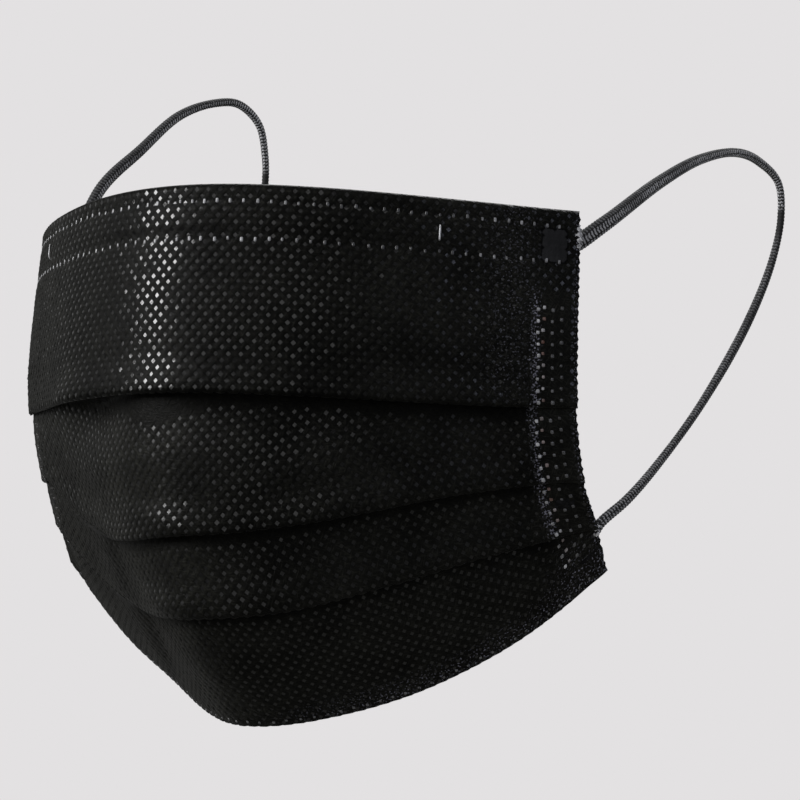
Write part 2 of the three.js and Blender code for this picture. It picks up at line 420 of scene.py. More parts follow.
@dataclass(frozen=True)
class Wrinkle:
    """A small crease: its middle on the cloth, its turn in degrees, and its sizes in mm."""

    s: float
    t: float
    turn: float
    length: float
    width: float
    depth: float

    def lift(self, s: Array, t: Array) -> Array:
        """Height of the crease at places on the cloth.

        Args:
            s: Distances from the middle.
            t: Distances down the flat cloth.

        Returns:
            Heights in mm.
        """
        angle = math.radians(self.turn)
        along = (s - self.s) * math.cos(angle) + (t - self.t) * math.sin(angle)
        across = (t - self.t) * math.cos(angle) - (s - self.s) * math.sin(angle)
        return self.depth * bell(across, self.width) * bell(along, self.length / 2)


@dataclass(init=False)
class FoldedCloth:
    """The cloth as it is folded: it turns a place (s, t) on the flat cut into a point in space."""

    half_pitch: float = 43.7 / 32  # half the spacing of the pressed dots down the cloth
    fold_rows: Numbers = (32, 61, 77)  # lower folds, in half pitches down from the top edge
    bottom_row: int = 103  # the bottom edge, in half pitches
    top_hem_rows: int = 11  # cloth turned over the top edge, in half pitches
    bottom_hem_rows: int = 5  # cloth turned over the bottom edge
    openness: Numbers = (0.0, 0.95, 1.0)  # how far each fold has opened left of the middle
    # Where each fold gapes: its middle in s, its width and its share.
    gapes: tuple[Table, ...] = (
        ((-34.0, 15.0, 2.2), (24.0, 30.0, 0.9), (66.0, 9.0, 0.4)),
        ((6.0, 22.0, 0.8), (42.0, 24.0, 1.0), (68.0, 8.0, 0.4)),
        ((8.0, 22.0, 0.7), (44.0, 24.0, 1.0), (68.0, 8.0, 0.5)),
    )
    half_thick: float = 0.25
    half_thick_welded: float = 0.16
    fold_radius: float = 0.5
    fold_radius_welded: float = 0.3
    fold_radius_open: float = 3.0
    fold_angle: float = math.radians(178)
    fold_angle_open: float = math.radians(20)
    fold_angle_gaping: float = math.radians(162)
    flare: float = 2.2  # a panel stands out towards its lower fold by this power
    kick: float = 1.2  # mm of that which falls in the last few mm above the fold
    kick_reach: float = 8.0
    recess: float = 2.2  # mm a panel lies back under a gaping fold
    recess_reach: float = 16.0
    least_overlap: float = 0.3
    clear_above: float = 2.5  # the overlap ends this far below the fold above it
    tuck: float = -0.8
    lip: float = 1.0
    lift_welded: float = 0.55
    band: Numbers = (73.5, 87.5)  # the welded side band, in s
    weld_lines: Numbers = (3.8, 11.7)  # dotted weld lines of the top hem, in t
    bottom_weld: float = 1.8  # that of the bottom hem, up from the bottom edge
    wire: Numbers = (4.9, 9.1)  # the nose wire's edges, in t
    wire_end: float = 56.0
    side_welds: Numbers = (78.2, 79.4, 81.5, 83.6)  # columns of weld points, in s
    top_pad: Numbers = (78.6, 84.6, 4.2, 12.2)  # the pad pressed by a horn, from and to in s and t
    pads_end: float = 15.0  # top pads lie above this t, and are pressed to a film
    channel: Numbers = (2.8, 5.2, 8.8, 11.4)  # the wire's pocket bulges between these, down the hem
    channel_depth: float = 2.1
    channel_ends: Numbers = (57.0, 64.0)  # the pocket closes between these, in s
    under_lip: Numbers = (0.8, 6.0)  # the painted shade under a lip fades out, and crisp dots come in, between these, in mm below a lip
    # below the first lip the painted shade reaches deeper: its middle in s, width and depth
    deeper_shade_patch: Numbers = (-6.0, 11.0, 11.0)
    hem_radius: float = 0.62
    hem_radius_welded: float = 0.3
    bulge: float = 0.35  # mm a panel bulges between its folds
    least_hidden: float = 0.4  # mm of a panel's flat cloth that a fold always takes
    # folds open between the first two, in s left, up to the last two
    opening: Numbers = (8, 44, 74, 81)
    lip_gaping: float = 1.2  # mm by which a gaping fold's lip stands out
    lip_opened: float = 0.6  # mm by which an opened fold's lip falls back
    radius_gaping: float = 0.15
    # mm that still show past a lip, and above the next panel's start
    still_shows: Numbers = (0.9, 0.6)
    least_left: float = 0.1  # share of the strain paleness and painted sheen on the left side

    def __init__(self, sheet: CurvedSheet) -> None:
        """Keep the sheet, and set out the folds and wrinkles.

        Args:
            sheet: The sheet that carries it.
        """
        self.sheet = sheet
        self.folds = [row * self.half_pitch for row in self.fold_rows]
        self.bottom = self.bottom_row * self.half_pitch
        self.lines = [0.0, *self.folds, self.bottom]
        self.bottom_pad = (81.8, 86.6, self.bottom - 6.8, self.bottom - 3.4)
        self.side_band = (77.2, 85.0, 18.5, self.bottom - 9.0)
        self.wrinkles = self._wrinkles()

    def _wrinkles(self) -> list[Wrinkle]:
        """The small creases, by table and by a seeded draw near the side welds.

        Returns:
            The creases.
        """
        fold_1, fold_2, fold_3 = self.folds
        table = [
            Wrinkle(-14, fold_3 - 5, 14, 26, 2.6, 0.7), Wrinkle(10, fold_3 + 6, -8, 30, 3.2, 0.7),
            Wrinkle(-6, fold_3 + 12, 10, 24, 4.0, -0.2), Wrinkle(16, fold_2 - 9, -6, 34, 4.0, 0.5),
            Wrinkle(-12, fold_2 - 6, 12, 26, 2.4, 0.5), Wrinkle(34, fold_3 + 9, -4, 40, 3.6, 0.5),
            Wrinkle(2, fold_2 + 7, 2, 22, 2.4, 0.6), Wrinkle(-2, fold_3 + 20, 3, 20, 4.0, 0.6),
            Wrinkle(46, fold_1 + 16, -3, 44, 5.0, 0.5), Wrinkle(52, fold_2 - 4, -2, 30, 2.5, 0.3),
            Wrinkle(60, fold_3 + 14, 5, 26, 3.0, -0.4), Wrinkle(24, fold_1 + 14, 4, 30, 5.0, -0.4),
        ]
        draw = np.random.default_rng(SEED)
        for side in Side:
            for line in self.folds:
                for up in np.arange(2.0, 14, 2.4):
                    table.append(Wrinkle(
                        side.value * draw.uniform(72, 77), line - up,
                        side.value * draw.uniform(-12, 16), draw.uniform(6, 12),
                        0.9, draw.uniform(0.15, 0.4)))
        return table

    def thickness(self, s: Array) -> Array:
        """Half the cloth's thickness: it is pressed thinner in the side bands."""
        return mix(self.half_thick, self.half_thick_welded, smooth(np.abs(s), *self.band))

    def fold_states(self, s: Array, heights: Array) -> list[FoldState]:
        """The three folds at the distances s, from the top.

        Args:
            s: Distances from the middle.
            heights: The four panels' heights there.

        Returns:
            One state for each fold.
        """
        away = np.abs(s)
        band = smooth(away, *self.band)
        lip = self.tuck + (self.lip - self.tuck) * mix(1, self.lift_welded, band)
        states = []
        opened = [openness * smooth(-s, *self.opening[:2]) * (1 - smooth(-s, *self.opening[2:]))
                  for openness in self.openness]
        for spread, gapes in zip(opened, self.gapes):
            unfolded = smooth(spread, 0.3, 1)
            gape = sum(share * bell(s - middle, width) for middle, width, share in gapes)
            angle = mix(self.fold_angle, self.fold_angle_gaping, gape)
            states.append(FoldState(
                angle=mix(angle, self.fold_angle_open, unfolded),
                radius=mix(mix(self.fold_radius, self.fold_radius_welded, band)
                           + self.radius_gaping * gape, self.fold_radius_open, unfolded ** 3),
                overlap=np.zeros_like(away),
                lip=(lip - self.thickness(s) + self.lip_gaping * gape
                     - self.lip_opened * spread),
                kick=self.kick * (1 - smooth(away, 60, 80)),
                recess=self.recess * gape))
        ends = [*self.folds[1:], self.bottom]
        for i, state in enumerate(states):
            cloth = ends[i] - self.folds[i]
            spare = (cloth - heights[:, i + 1] - 3 * state.radius * state.angle) / 2
            most = np.maximum(heights[:, i] - self.clear_above - 2, self.least_overlap)
            state.overlap = np.clip(spare, self.least_overlap, most)
            state.overlap = mix(state.overlap, self.least_overlap, smooth(opened[i], 0, 0.4))
        return states

    def hem_turn(self, s: Array) -> Array:
        """Radius of the turn over the top edge."""
        return mix(self.hem_radius, self.hem_radius_welded, smooth(np.abs(s), *self.band))

    def locate(self, s: Array, t: Array) -> tuple[Array, Array, Array]:
        """Find places on the folded cloth.

        Args:
            s: Distances from the middle.
            t: Distances down the flat cloth.

        Returns:
            Rows of the sheet, distances out from it, and headings of the cloth: 0 runs down
            the sheet, and the heading grows as the cloth turns in towards the face.
        """
        heights = self.sheet.heights(s)
        folds = self.fold_states(s, heights)
        front = -self.thickness(s)
        turn = self.hem_turn(s)
        down = np.zeros_like(s)  # mm down from line `line`
        out = np.zeros_like(s)
        heading = np.zeros_like(s)
        line = np.zeros(len(s), int)
        for panel in range(4):
            here = (t >= self.lines[panel]) & (t <= self.lines[panel + 1])
            self._locate_panel(panel, here, t, heights, folds, front, turn, down, out, heading,
                               line)
        self._locate_hems(s, t, heights, front, turn, down, out, heading, line)
        above = (down < 0) & (line > 0)
        panel = np.where(above, line - 1, np.minimum(line, 3))
        height = heights[np.arange(len(s)), panel]
        return line + down / height, out, heading

    def _locate_panel(self, panel: int, here: Array, t: Array, heights: Array,
                      folds: list[FoldState], front: Array, turn: Array, down: Array, out: Array,
                      heading: Array, line: Array) -> None:
        """Fill in the places of one panel, from the fold above it to its own lower fold.

        Args:
            panel: The panel's number, from the top.
            here: Which places lie on it.
            t: Distances down the flat cloth.
            heights: The four panels' heights.
            folds: The three folds.
            front: Where the cloth's middle layer starts, out from the sheet.
            turn: Radius of the turn over the top and bottom edges.
            down: To fill in: mm down from a line.
            out: To fill in: mm out from the sheet.
            heading: To fill in: headings.
            line: To fill in: the lines that down counts from.
        """
        height = heights[:, panel]
        quarter = turn * math.pi / 2
        first, last = panel == 0, panel == 3
        if first:
            lead, start_down, start_out = quarter, turn, front
        else:
            upper = folds[panel - 1]
            lead, start_down, start_out = upper.length(), upper.end(), upper.tuck()
        if last:
            tail, end_down, end_out = quarter, height - turn, front
        else:
            lower = folds[panel]
            tail, end_down, end_out = (lower.radius * lower.angle / 2, height + lower.start(),
                                       lower.lip)
        run = end_down - start_down
        total = lead + run + tail
        cloth = self.lines[panel + 1] - self.lines[panel]
        left = self.lines[panel + 1] - t  # flat cloth left to the lower fold
        if first:
            length_left = left * total / cloth
        else:
            seen = np.minimum(tail + height, cloth - self.least_hidden)
            length_left = np.where(
                left <= seen, left, seen + (left - seen) * (total - seen) / (cloth - seen))
        at = total - length_left
        line[here] = panel

        middle = here & (at >= lead) & (at <= lead + run)
        share = (at - lead) / run
        bulge = self.bulge * np.sin(np.pi * np.clip(share, 0, 1))
        down[middle] = (start_down + at - lead)[middle]
        flared = np.clip(share, 0, 1) ** self.flare
        kick = 0.0 if last else lower.kick
        surface = mix(start_out, end_out - kick, flared) + bulge
        surface = surface + kick * smooth(at - lead - run, -self.kick_reach, 0)
        if not first:
            past = at - lead
            surface = surface - upper.recess * (
                smooth(past, 0, upper.overlap + 0.1)
                * (1 - smooth(past, upper.overlap, upper.overlap + self.recess_reach)))
        out[middle] = surface[middle]

        end = here & (at > lead + run)
        if last:
            angle = (at - lead - run) / turn
            down[end] = (height - turn + turn * np.sin(angle))[end]
            out[end] = (front - turn + turn * np.cos(angle))[end]
        else:
            angle = (at - lead - run) / lower.radius
            down[end] = (lower.start() + lower.radius * np.sin(angle))[end]
            out[end] = (lower.lip - lower.radius * (1 - np.cos(angle)))[end]
            line[end] = panel + 1
        heading[end] = angle[end]

        start = here & (at < lead)
        if first:
            angle = at / turn
            down[start] = (turn - turn * np.cos(angle))[start]
            out[start] = (front - turn + turn * np.sin(angle))[start]
            heading[start] = (1.5 * math.pi + angle)[start]
            return
        half = upper.radius * upper.angle / 2
        lip_turn = start & (at < half)
        angle = upper.angle / 2 + at / upper.radius
        down[lip_turn] = (upper.start() + upper.radius * np.sin(angle))[lip_turn]
        out[lip_turn] = (upper.lip - upper.radius * (1 - np.cos(angle)))[lip_turn]
        heading[lip_turn] = angle[lip_turn]

        back = start & (at >= half) & (at < half + upper.overlap)
        past = at - half
        down[back] = (upper.start() + upper.radius * np.sin(upper.angle)
                      + past * np.cos(upper.angle))[back]
        out[back] = (upper.lip - upper.radius * (1 - np.cos(upper.angle))
                     - past * np.sin(upper.angle))[back]
        heading[back] = upper.angle[back]

        crease = start & (at >= half + upper.overlap)
        angle = upper.angle - (at - half - upper.overlap) / upper.radius
        down[crease] = (upper.end() - upper.radius * np.sin(angle))[crease]
        out[crease] = (upper.tuck() + upper.radius * (1 - np.cos(angle)))[crease]
        heading[crease] = angle[crease]

    def _locate_hems(self, s: Array, t: Array, heights: Array, front: Array, turn: Array,
                     down: Array, out: Array, heading: Array, line: Array) -> None:
        """Fill in the places of the cloth that is turned over the top and bottom edges.

        Args:
            s: Distances from the middle.
            t: Distances down the flat cloth.
            heights: The four panels' heights.
            front: Where the cloth's middle layer starts, out from the sheet.
            turn: Radius of the turn over the top and bottom edges.
            down: To fill in: mm down from a line.
            out: To fill in: mm out from the sheet.
            heading: To fill in: headings.
            line: To fill in: the lines that down counts from.
        """
        quarter = turn * math.pi / 2
        past = -t
        top = past > 0
        angle = np.minimum(past, quarter) / turn
        inner_down = turn + np.maximum(past - quarter, 0)
        opens, is_open, closes, is_closed = self.channel
        channel = smooth(inner_down, opens, is_open)
        channel = channel * (1 - smooth(inner_down, closes, is_closed))
        pocket = 1 - smooth(np.abs(s), *self.channel_ends)
        down[top] = (turn - turn * np.cos(angle) + np.maximum(past - quarter, 0))[top]
        out[top] = (front - turn - turn * np.sin(angle)
                    - self.channel_depth * channel * pocket)[top]
        heading[top] = (1.5 * math.pi - angle)[top]
        line[top] = 0

        past = t - self.bottom
        low = past > 0
        angle = math.pi / 2 + np.minimum(past, quarter) / turn
        down[low] = (heights[:, 3] - turn + turn * np.sin(angle)
                     - np.maximum(past - quarter, 0))[low]
        out[low] = (front - turn + turn * np.cos(angle))[low]
        heading[low] = angle[low]
        line[low] = 3

    def shows(self, s: Array, t: Array) -> Array:
        """Which places on the cloth show, from outside or from behind.

        Args:
            s: Distances from the middle.
            t: Distances down the flat cloth.

        Returns:
            True where a place shows.
        """
        heights = self.sheet.heights(s)
        hidden = np.zeros(len(s), bool)
        past_lip, above_start = self.still_shows
        for panel in (1, 2, 3):
            left = self.lines[panel + 1] - t
            hidden |= ((t > self.lines[panel] + past_lip)
                       & (left > heights[:, panel] + above_start))
        return ~hidden

    def is_pressed(self, s: Array, t: Array) -> Array:
        """Where a welding horn has flattened the cloth and its dots.

        Args:
            s: Distances from the middle.
            t: Distances down the flat cloth.

        Returns:
            True where it is flattened.
        """
        away = np.abs(s)
        pressed = np.zeros(len(s), bool)
        for s_from, s_to, t_from, t_to in (self.top_pad, self.bottom_pad, self.side_band):
            pressed |= (away > s_from) & (away < s_to) & (t > t_from) & (t < t_to)
        return pressed

    def crinkle(self, s: Array, t: Array) -> Array:
        """How crinkled the cloth is, 0 to 1: most where a weld gathers it.

        Args:
            s: Distances from the middle.
            t: Distances down the flat cloth.

        Returns:
            Shares, 0 to 1.
        """
        away = np.abs(s)
        beside = bell(away - 70, 9) * smooth(t, 8, 14) * (1 - smooth(t, 34, 44))
        gathered = bell(away - 76, 4) * smooth(t, 16, 20)
        corner = bell(away - 80, 9) * smooth(t, self.folds[2] - 2, self.folds[2] + 4)
        hem = smooth(t, self.bottom - 9, self.bottom - 3) * smooth(s, -30, 20)
        top = 0.9 * bell(away - 72, 14) * (1 - smooth(t, 4, 20))
        return np.clip(0.12 + beside + gathered + 0.5 * corner + 0.55 * hem + top, 0, 1)

    def whitening_and_sheen(self, s: Array, t: Array) -> Array:
        """Paleness beside the welds, 0 to 1: strained cloth, and painted sheen and glints.

        Args:
            s: Distances from the middle.
            t: Distances down the flat cloth.

        Returns:
            Shares, 0 to 1.
        """
        away = np.abs(s)
        # painted sheen along the inner weld column and beside it, painted glints along the bottom
        # hem and its corner, and a paler cut edge
        column = bell(away - 77.5, 0.7) * smooth(t, 16, 22)
        column = column * (1 - smooth(t, self.folds[2] + 2, self.folds[2] + 8))
        beside = 0.1 * bell(away - 72, 6) * (1 - smooth(t, 36, 48))
        hem = 0.2 * smooth(t, self.bottom - 9, self.bottom - 2) * smooth(s, -5, 30)
        corner = 0.12 * bell(away - 80, 7) * smooth(t, self.bottom - 16, self.bottom - 8)
        rim = 0.35 * smooth(away, 85.6, 87.2)
        whitened_and_sheen = np.clip(column + beside + hem + corner + rim, 0, 1)
        on_front = 1 - smooth(t, self.bottom, self.bottom + 0.8)
        return whitened_and_sheen * on_front * np.where(s > 0, 1, self.least_left)

    def tucked(self, s: Array, t: Array) -> Array:
        """How close a place is under the lip of a fold, 0 to 1: the share of painted shade there.

        Args:
            s: Distances from the middle.
            t: Distances down the flat cloth.

        Returns:
            Shares, 0 to 1.
        """
        heights = self.sheet.heights(s)
        share = np.zeros_like(s)
        clear, crisp = self.under_lip
        middle, width, deeper = self.deeper_shade_patch
        for panel in (1, 2, 3):
            below = heights[:, panel] - (self.lines[panel + 1] - t)
            here = (t > self.lines[panel]) & (t <= self.lines[panel + 1])
            reach = crisp + (deeper * bell(s - middle, width) if panel == 1 else 0)
            share = np.where(here, 1 - smooth((below - clear) / (reach - clear), 0, 1), share)
        return share * smooth(s, -62, -40) * (1 - smooth(s, 74, 80))

    def lip_lean(self, s: Array, t: Array) -> Array:
        """How far the dots just above the second and third lips lean upwards, 0 to 1.

        Args:
            s: Distances from the middle.
            t: Distances down the flat cloth.

        Returns:
            Shares, 0 to 1.
        """
        share = np.zeros_like(s)
        for panel in (1, 2):
            above = self.lines[panel + 1] - t
            share = share + bell(above - 2.5, 3.5) * (above > 0)
        return share * smooth(s, -40, -20) * (1 - smooth(s, 20, 50))

    def crispness(self, s: Array, t: Array) -> Array:
        """How firmly the dots are pressed, 0 to 1: most on the flat middle of the top panel.

        Args:
            s: Distances from the middle.
            t: Distances down the flat cloth.

        Returns:
            Shares, 0 to 1.
        """
        top = 1 - 0.75 * smooth(s, 28, 60) - 0.35 * smooth(-s, 20, 60)
        second = 0.8 * bell(s - 18, 26) * (1 - smooth(t, self.folds[1], self.folds[1] + 2))
        low = mix(0.25 * bell(s - 10, 40), 0.5, smooth(-s, 5, 35))
        below = np.maximum(second, low)
        crisp = np.clip(mix(top, below, smooth(t, self.folds[0], self.folds[0] + 4)), 0, 1)
        return crisp * (1 - self.tucked(s, t))

    def drape(self, s: Array, t: Array) -> Array:
        """Soft shape of the whole cloth at places on it, measured outwards.

        Args:
            s: Distances from the middle.
            t: Distances down the flat cloth.

        Returns:
            Lifts in mm.
        """
        away = np.abs(s)
        on_front = smooth(t, -0.5, 1.0)
        wire = smooth(t, self.wire[0] - 1.0, self.wire[0] + 0.2)
        wire = wire * (1 - smooth(t, self.wire[1] - 0.2, self.wire[1] + 1.0))
        lift = 0.3 * wire * (1 - smooth(away, self.wire_end - 0.5, self.wire_end + 0.7))
        end_mark = smooth(t, 5.2, 5.8) * (1 - smooth(t, 9.0, 9.6))
        lift = lift + 0.35 * end_mark * bell(away - self.wire_end, 0.5)
        for weld in (*self.weld_lines, self.bottom - self.bottom_weld):
            pull = 1 + 0.35 * np.sin(s * 0.83 + weld)
            lift = lift - 0.16 * pull * bell(t - weld, 0.9)
        lift = lift - 0.15 * bell(away - 82, 3.5) * smooth(t, 16, 20)
        for wrinkle in self.wrinkles:
            lift = lift + wrinkle.lift(s, t)
        still = smooth(CurvedSheet.half_width - away, 0, 3)
        return lift * on_front * mix(0.3, 1, still)

    def place(self, s: Array, t: Array, off: Array | float) -> Array:
        """Points on the folded cloth, at a distance off its middle layer, outer side positive.

        Args:
            s: Distances from the middle.
            t: Distances down the flat cloth.
            off: Distances off the middle layer, in mm.

        Returns:
            The points.
        """
        s, t = np.asarray(s, float), np.asarray(t, float)
        row, out, heading = self.locate(s, t)
        off = self.drape(s, t) + off
        heights = self.sheet.heights(s)
        height = heights[np.arange(len(s)), np.clip(np.floor(row), 0, 3).astype(int)]
        return self.sheet.place(s, row + off * np.sin(heading) / height,
                                out + off * np.cos(heading))

    def front(self, s: Array, t: Array, rise: Array | float = 0.0) -> Array:
        """Points on the outer face, raised by some mm."""
        return self.place(s, t, self.thickness(np.asarray(s, float)) + rise)

    def back(self, s: Array, t: Array, rise: Array | float = 0.0) -> Array:
        """Points on the inner face, raised by some mm."""
        return self.place(s, t, -self.thickness(np.asarray(s, float)) - rise)


@dataclass(init=False)
class PressedCloth:
    """The skin of the folded cloth: its outer face holds a diamond lattice of pressed dots.

    Points of the lattice are numbered (a, b), in half pitches sideways and down. Those with an
    even sum are dots, each with a rim of four corners, and a pit where the dot shows.
    """

    columns: int = 65  # half pitches from the middle to a side edge
    rim: float = 0.53  # reach of a dot's rim, in half pitches
    pit: float = 0.41  # reach of a pit's floor, in half pitches
    pillow: float = 0.09  # mm the cloth swells between dots
    pit_depth: float = 0.1  # mm
    # east, up, west, down: a turn seen from outside
    steps: Table = (
        (1, 0), (0, -1), (-1, 0), (0, 1),
    )
    ragged: float = 0.12  # mm by which the side edges are uneven
    scallop: float = 0.42  # depth in mm of the cutter's teeth at the side edges
    scallop_pitch: float = 1.9
    tilt: float = 0.014  # how much a dot leans, at random, in mm at its corners
    # of the dots, the rest of the outer face, the inner side, the edge
    finishes: Numbers = (3, 0, 0, 1, 2)
    depth_spread: Numbers = (0.75, 1.25)  # shares of the depth and size, drawn for each dot
    size_spread: Numbers = (0.93, 1.07)
    edge_depth: float = 0.3  # share of a pit's depth that is left at an edge
    dot_hollow: float = 0.4  # how much a dot's middle is darkened, beside its rim: web pressed down, and painted shade
    inner_crinkle: float = 0.1
    crinkle_tilt: Numbers = (0.8, 4.5)  # times that tilt on smooth cloth, and more where crinkled
    crinkle_shrink: float = 0.2  # share by which dots are smaller where the cloth is crinkled
    lip_lean: float = 0.09  # how much dots lean upwards just above a lip
    tucked_bare: float = 0.72  # no pit shows where the cloth is more tucked than this
    flat_edge: Numbers = (0.8, 3.5)  # the relief comes in between these, in mm from an edge
    map_mm: float = 200.0  # mm of cloth to one unit of the map

    def __init__(self, cloth: FoldedCloth) -> None:
        """Number the lattice.

        Args:
            cloth: The folded cloth.
        """
        self.cloth = cloth
        self.a = np.arange(-self.columns, self.columns + 1)
        self.b = np.arange(-cloth.top_hem_rows, cloth.bottom_row + cloth.bottom_hem_rows + 1)
        self.shape = (len(self.a), len(self.b))
        self.even = (self.a[:, None] + self.b[None, :]) % 2 == 0
        self.sideways = CurvedSheet.half_width / self.columns
        self.draw = np.random.default_rng(SEED)

    def _cloth_place(self, a: Array, b: Array) -> tuple[Array, Array]:
        """Turn lattice numbers into mm of cloth, with uneven side edges.

        Args:
            a: Lattice numbers sideways.
            b: Lattice numbers down.

        Returns:
            Distances s and t.
        """
        s, t = a * self.sideways, b * self.cloth.half_pitch
        at_edge = np.abs(a) > self.columns - 1e-6
        bite = self.scallop * (0.5 - 0.5 * np.cos(2 * math.pi * t / self.scallop_pitch))
        ragged = self.ragged * self.draw.random(len(s)) - bite * np.where(s > 0, 1, 0.4)
        return s + np.where(at_edge, np.sign(a) * ragged, 0), t

    def _pit_shows(self) -> Array:
        """Which lattice points are dots with a pit.

        Returns:
            True for a dot with a pit.
        """
        a, b = np.meshgrid(self.a, self.b, indexing="ij")
        s, t = a.ravel() * self.sideways, b.ravel() * self.cloth.half_pitch
        shows = self.cloth.shows(s, t) & ~self.cloth.is_pressed(s, t)
        shows &= self.cloth.tucked(s, t) < self.tucked_bare
        inner = np.zeros(self.shape, bool)
        inner[1:-1, 1:-1] = True
        inner[:, (self.b == 0) | (self.b == self.cloth.bottom_row)] = False
        return shows.reshape(self.shape) & self.even & inner

    def build(self) -> bpy.types.Object:
        """Make the closed skin: outer face, inner face and cut edges.

        Returns:
            The new object.
        """
        na, nb = self.shape
        pits = self._pit_shows()
        a, b = (g.astype(float) for g in np.meshgrid(self.a, self.b, indexing="ij"))
        places, rises, bonds = [], [], []

        def add_points(pa: Array, pb: Array, rise: Array, bond: float) -> Array:
            """Add points to the outer face.

            Args:
                pa: Lattice numbers sideways.
                pb: Lattice numbers down.
                rise: Heights off the face, in mm.
                bond: How pressed they are, 0 to 1.

            Returns:
                The points' numbers.
            """
            start = sum(len(p) for p in places)
            places.append(np.stack([pa, pb], 1))
            rises.append(np.broadcast_to(rise, pa.shape))
            bonds.append(np.full(len(pa), bond))
            return np.arange(start, start + len(pa))

        depth = self.draw.uniform(*self.depth_spread, self.shape)
        size = self.draw.uniform(*self.size_spread, self.shape)
        lattice = (a.ravel() * self.sideways, b.ravel() * self.cloth.half_pitch)
        crinkled_here = self.cloth.crinkle(*lattice).reshape(self.shape)
        size = size * (1 - self.crinkle_shrink * crinkled_here)
        smooth_tilt, more_tilt = self.crinkle_tilt
        tilt = self.draw.normal(0, self.tilt, (2, *self.shape))
        tilt = tilt * (smooth_tilt + more_tilt * crinkled_here)
        tilt[1] += self.lip_lean * self.cloth.lip_lean(*lattice).reshape(self.shape)
        from_edge = np.minimum(np.abs(b), np.abs(b - self.cloth.bottom_row))
        relief = smooth(from_edge * self.cloth.half_pitch, *self.flat_edge)
        depth = depth * mix(self.edge_depth, 1, relief)
        centre_rise = np.where(self.even, np.where(pits, -self.pit_depth * depth, 0),
                               self.pillow * relief)
        centres = add_points(a.ravel(), b.ravel(), centre_rise.ravel(), 0.0).reshape(self.shape)
        rims = np.full((4, na, nb), -1)
        pit_corners = np.full((4, na, nb), -1)
        for k, (da, db) in enumerate(self.steps):
            inside = self.even.copy()
            inside &= (a + da >= self.a[0]) & (a + da <= self.a[-1])
            inside &= (b + db >= self.b[0]) & (b + db <= self.b[-1])
            reach = self.rim * size
            rims[k][inside] = add_points((a + da * reach)[inside], (b + db * reach)[inside],
                                         np.zeros(inside.sum()), 0.0)
            reach = self.pit * size
            lean = da * tilt[0] + db * tilt[1]
            pit_corners[k][pits] = add_points((a + da * reach)[pits], (b + db * reach)[pits],
                                              (lean - self.pit_depth * depth)[pits], 0.5)
        bonds[0] = pits.ravel().astype(float)
        # darkening of the web round each dot: pressed-down web, and a painted shadow ring
        packing_and_shade = np.ones(sum(len(p) for p in places))
        packing_and_shade[:na * nb] = np.where(self.even, self.dot_hollow, 0.0).ravel()
        outer = self._outer_faces(centres, rims, pit_corners, pits)

        s, t = self._cloth_place(*np.concatenate(places).T)
        outer_points = self.cloth.front(s, t, np.concatenate(rises))
        back_s, back_t = s[:na * nb], t[:na * nb]
        inner_points = self.cloth.back(back_s, back_t)
        inner_numbers = np.arange(na * nb).reshape(self.shape) + len(s)
        inner = np.stack([inner_numbers[:-1, :-1], inner_numbers[1:, :-1], inner_numbers[1:, 1:],
                          inner_numbers[:-1, 1:]], -1).reshape(-1, 4)
        edge = self._edge_faces(centres, rims, inner_numbers)
        film = self.cloth.is_pressed(s, t) & (t < self.cloth.pads_end)
        crinkle = np.concatenate([self.cloth.crinkle(s, t), np.full(na * nb, self.inner_crinkle)])
        map_of = np.stack([s / self.map_mm + 0.5, t / self.map_mm], 1)
        uv = np.concatenate([map_of, map_of[:na * nb] + [1.0, 0.0]])
        bond = np.concatenate([np.maximum(np.concatenate(bonds), film), np.zeros(na * nb)])
        ply = np.concatenate([np.ones(len(s)), np.zeros(na * nb)])
        faces = [*outer, inner, edge]
        whitened_and_sheen = np.concatenate([self.cloth.whitening_and_sheen(s, t), np.zeros(na * nb)])
        crisp = self.cloth.crispness(s, t)
        # painted shade under each fold's lip, as if the lip shadowed the cloth below it
        packing_and_shade = np.maximum(packing_and_shade * crisp, self.cloth.tucked(s, t))
        packing_and_shade = np.concatenate([packing_and_shade, np.zeros(na * nb)])
        crisp = np.concatenate([crisp, np.zeros(na * nb)])
        piece = make_mesh(
            "pleated_cloth", np.concatenate([outer_points, inner_points]), faces, uv,
            {"bond": bond, "ply": ply, "crinkle": crinkle, "whitened_and_sheen": whitened_and_sheen,
             "packing_and_shade": packing_and_shade, "crisp": crisp}, self.finishes)
        shading = np.ones(len(piece.data.polygons), bool)
        shading[:len(outer[0])] = False  # the dots are flat
        piece.data.polygons.foreach_set("use_smooth", shading)
        return piece

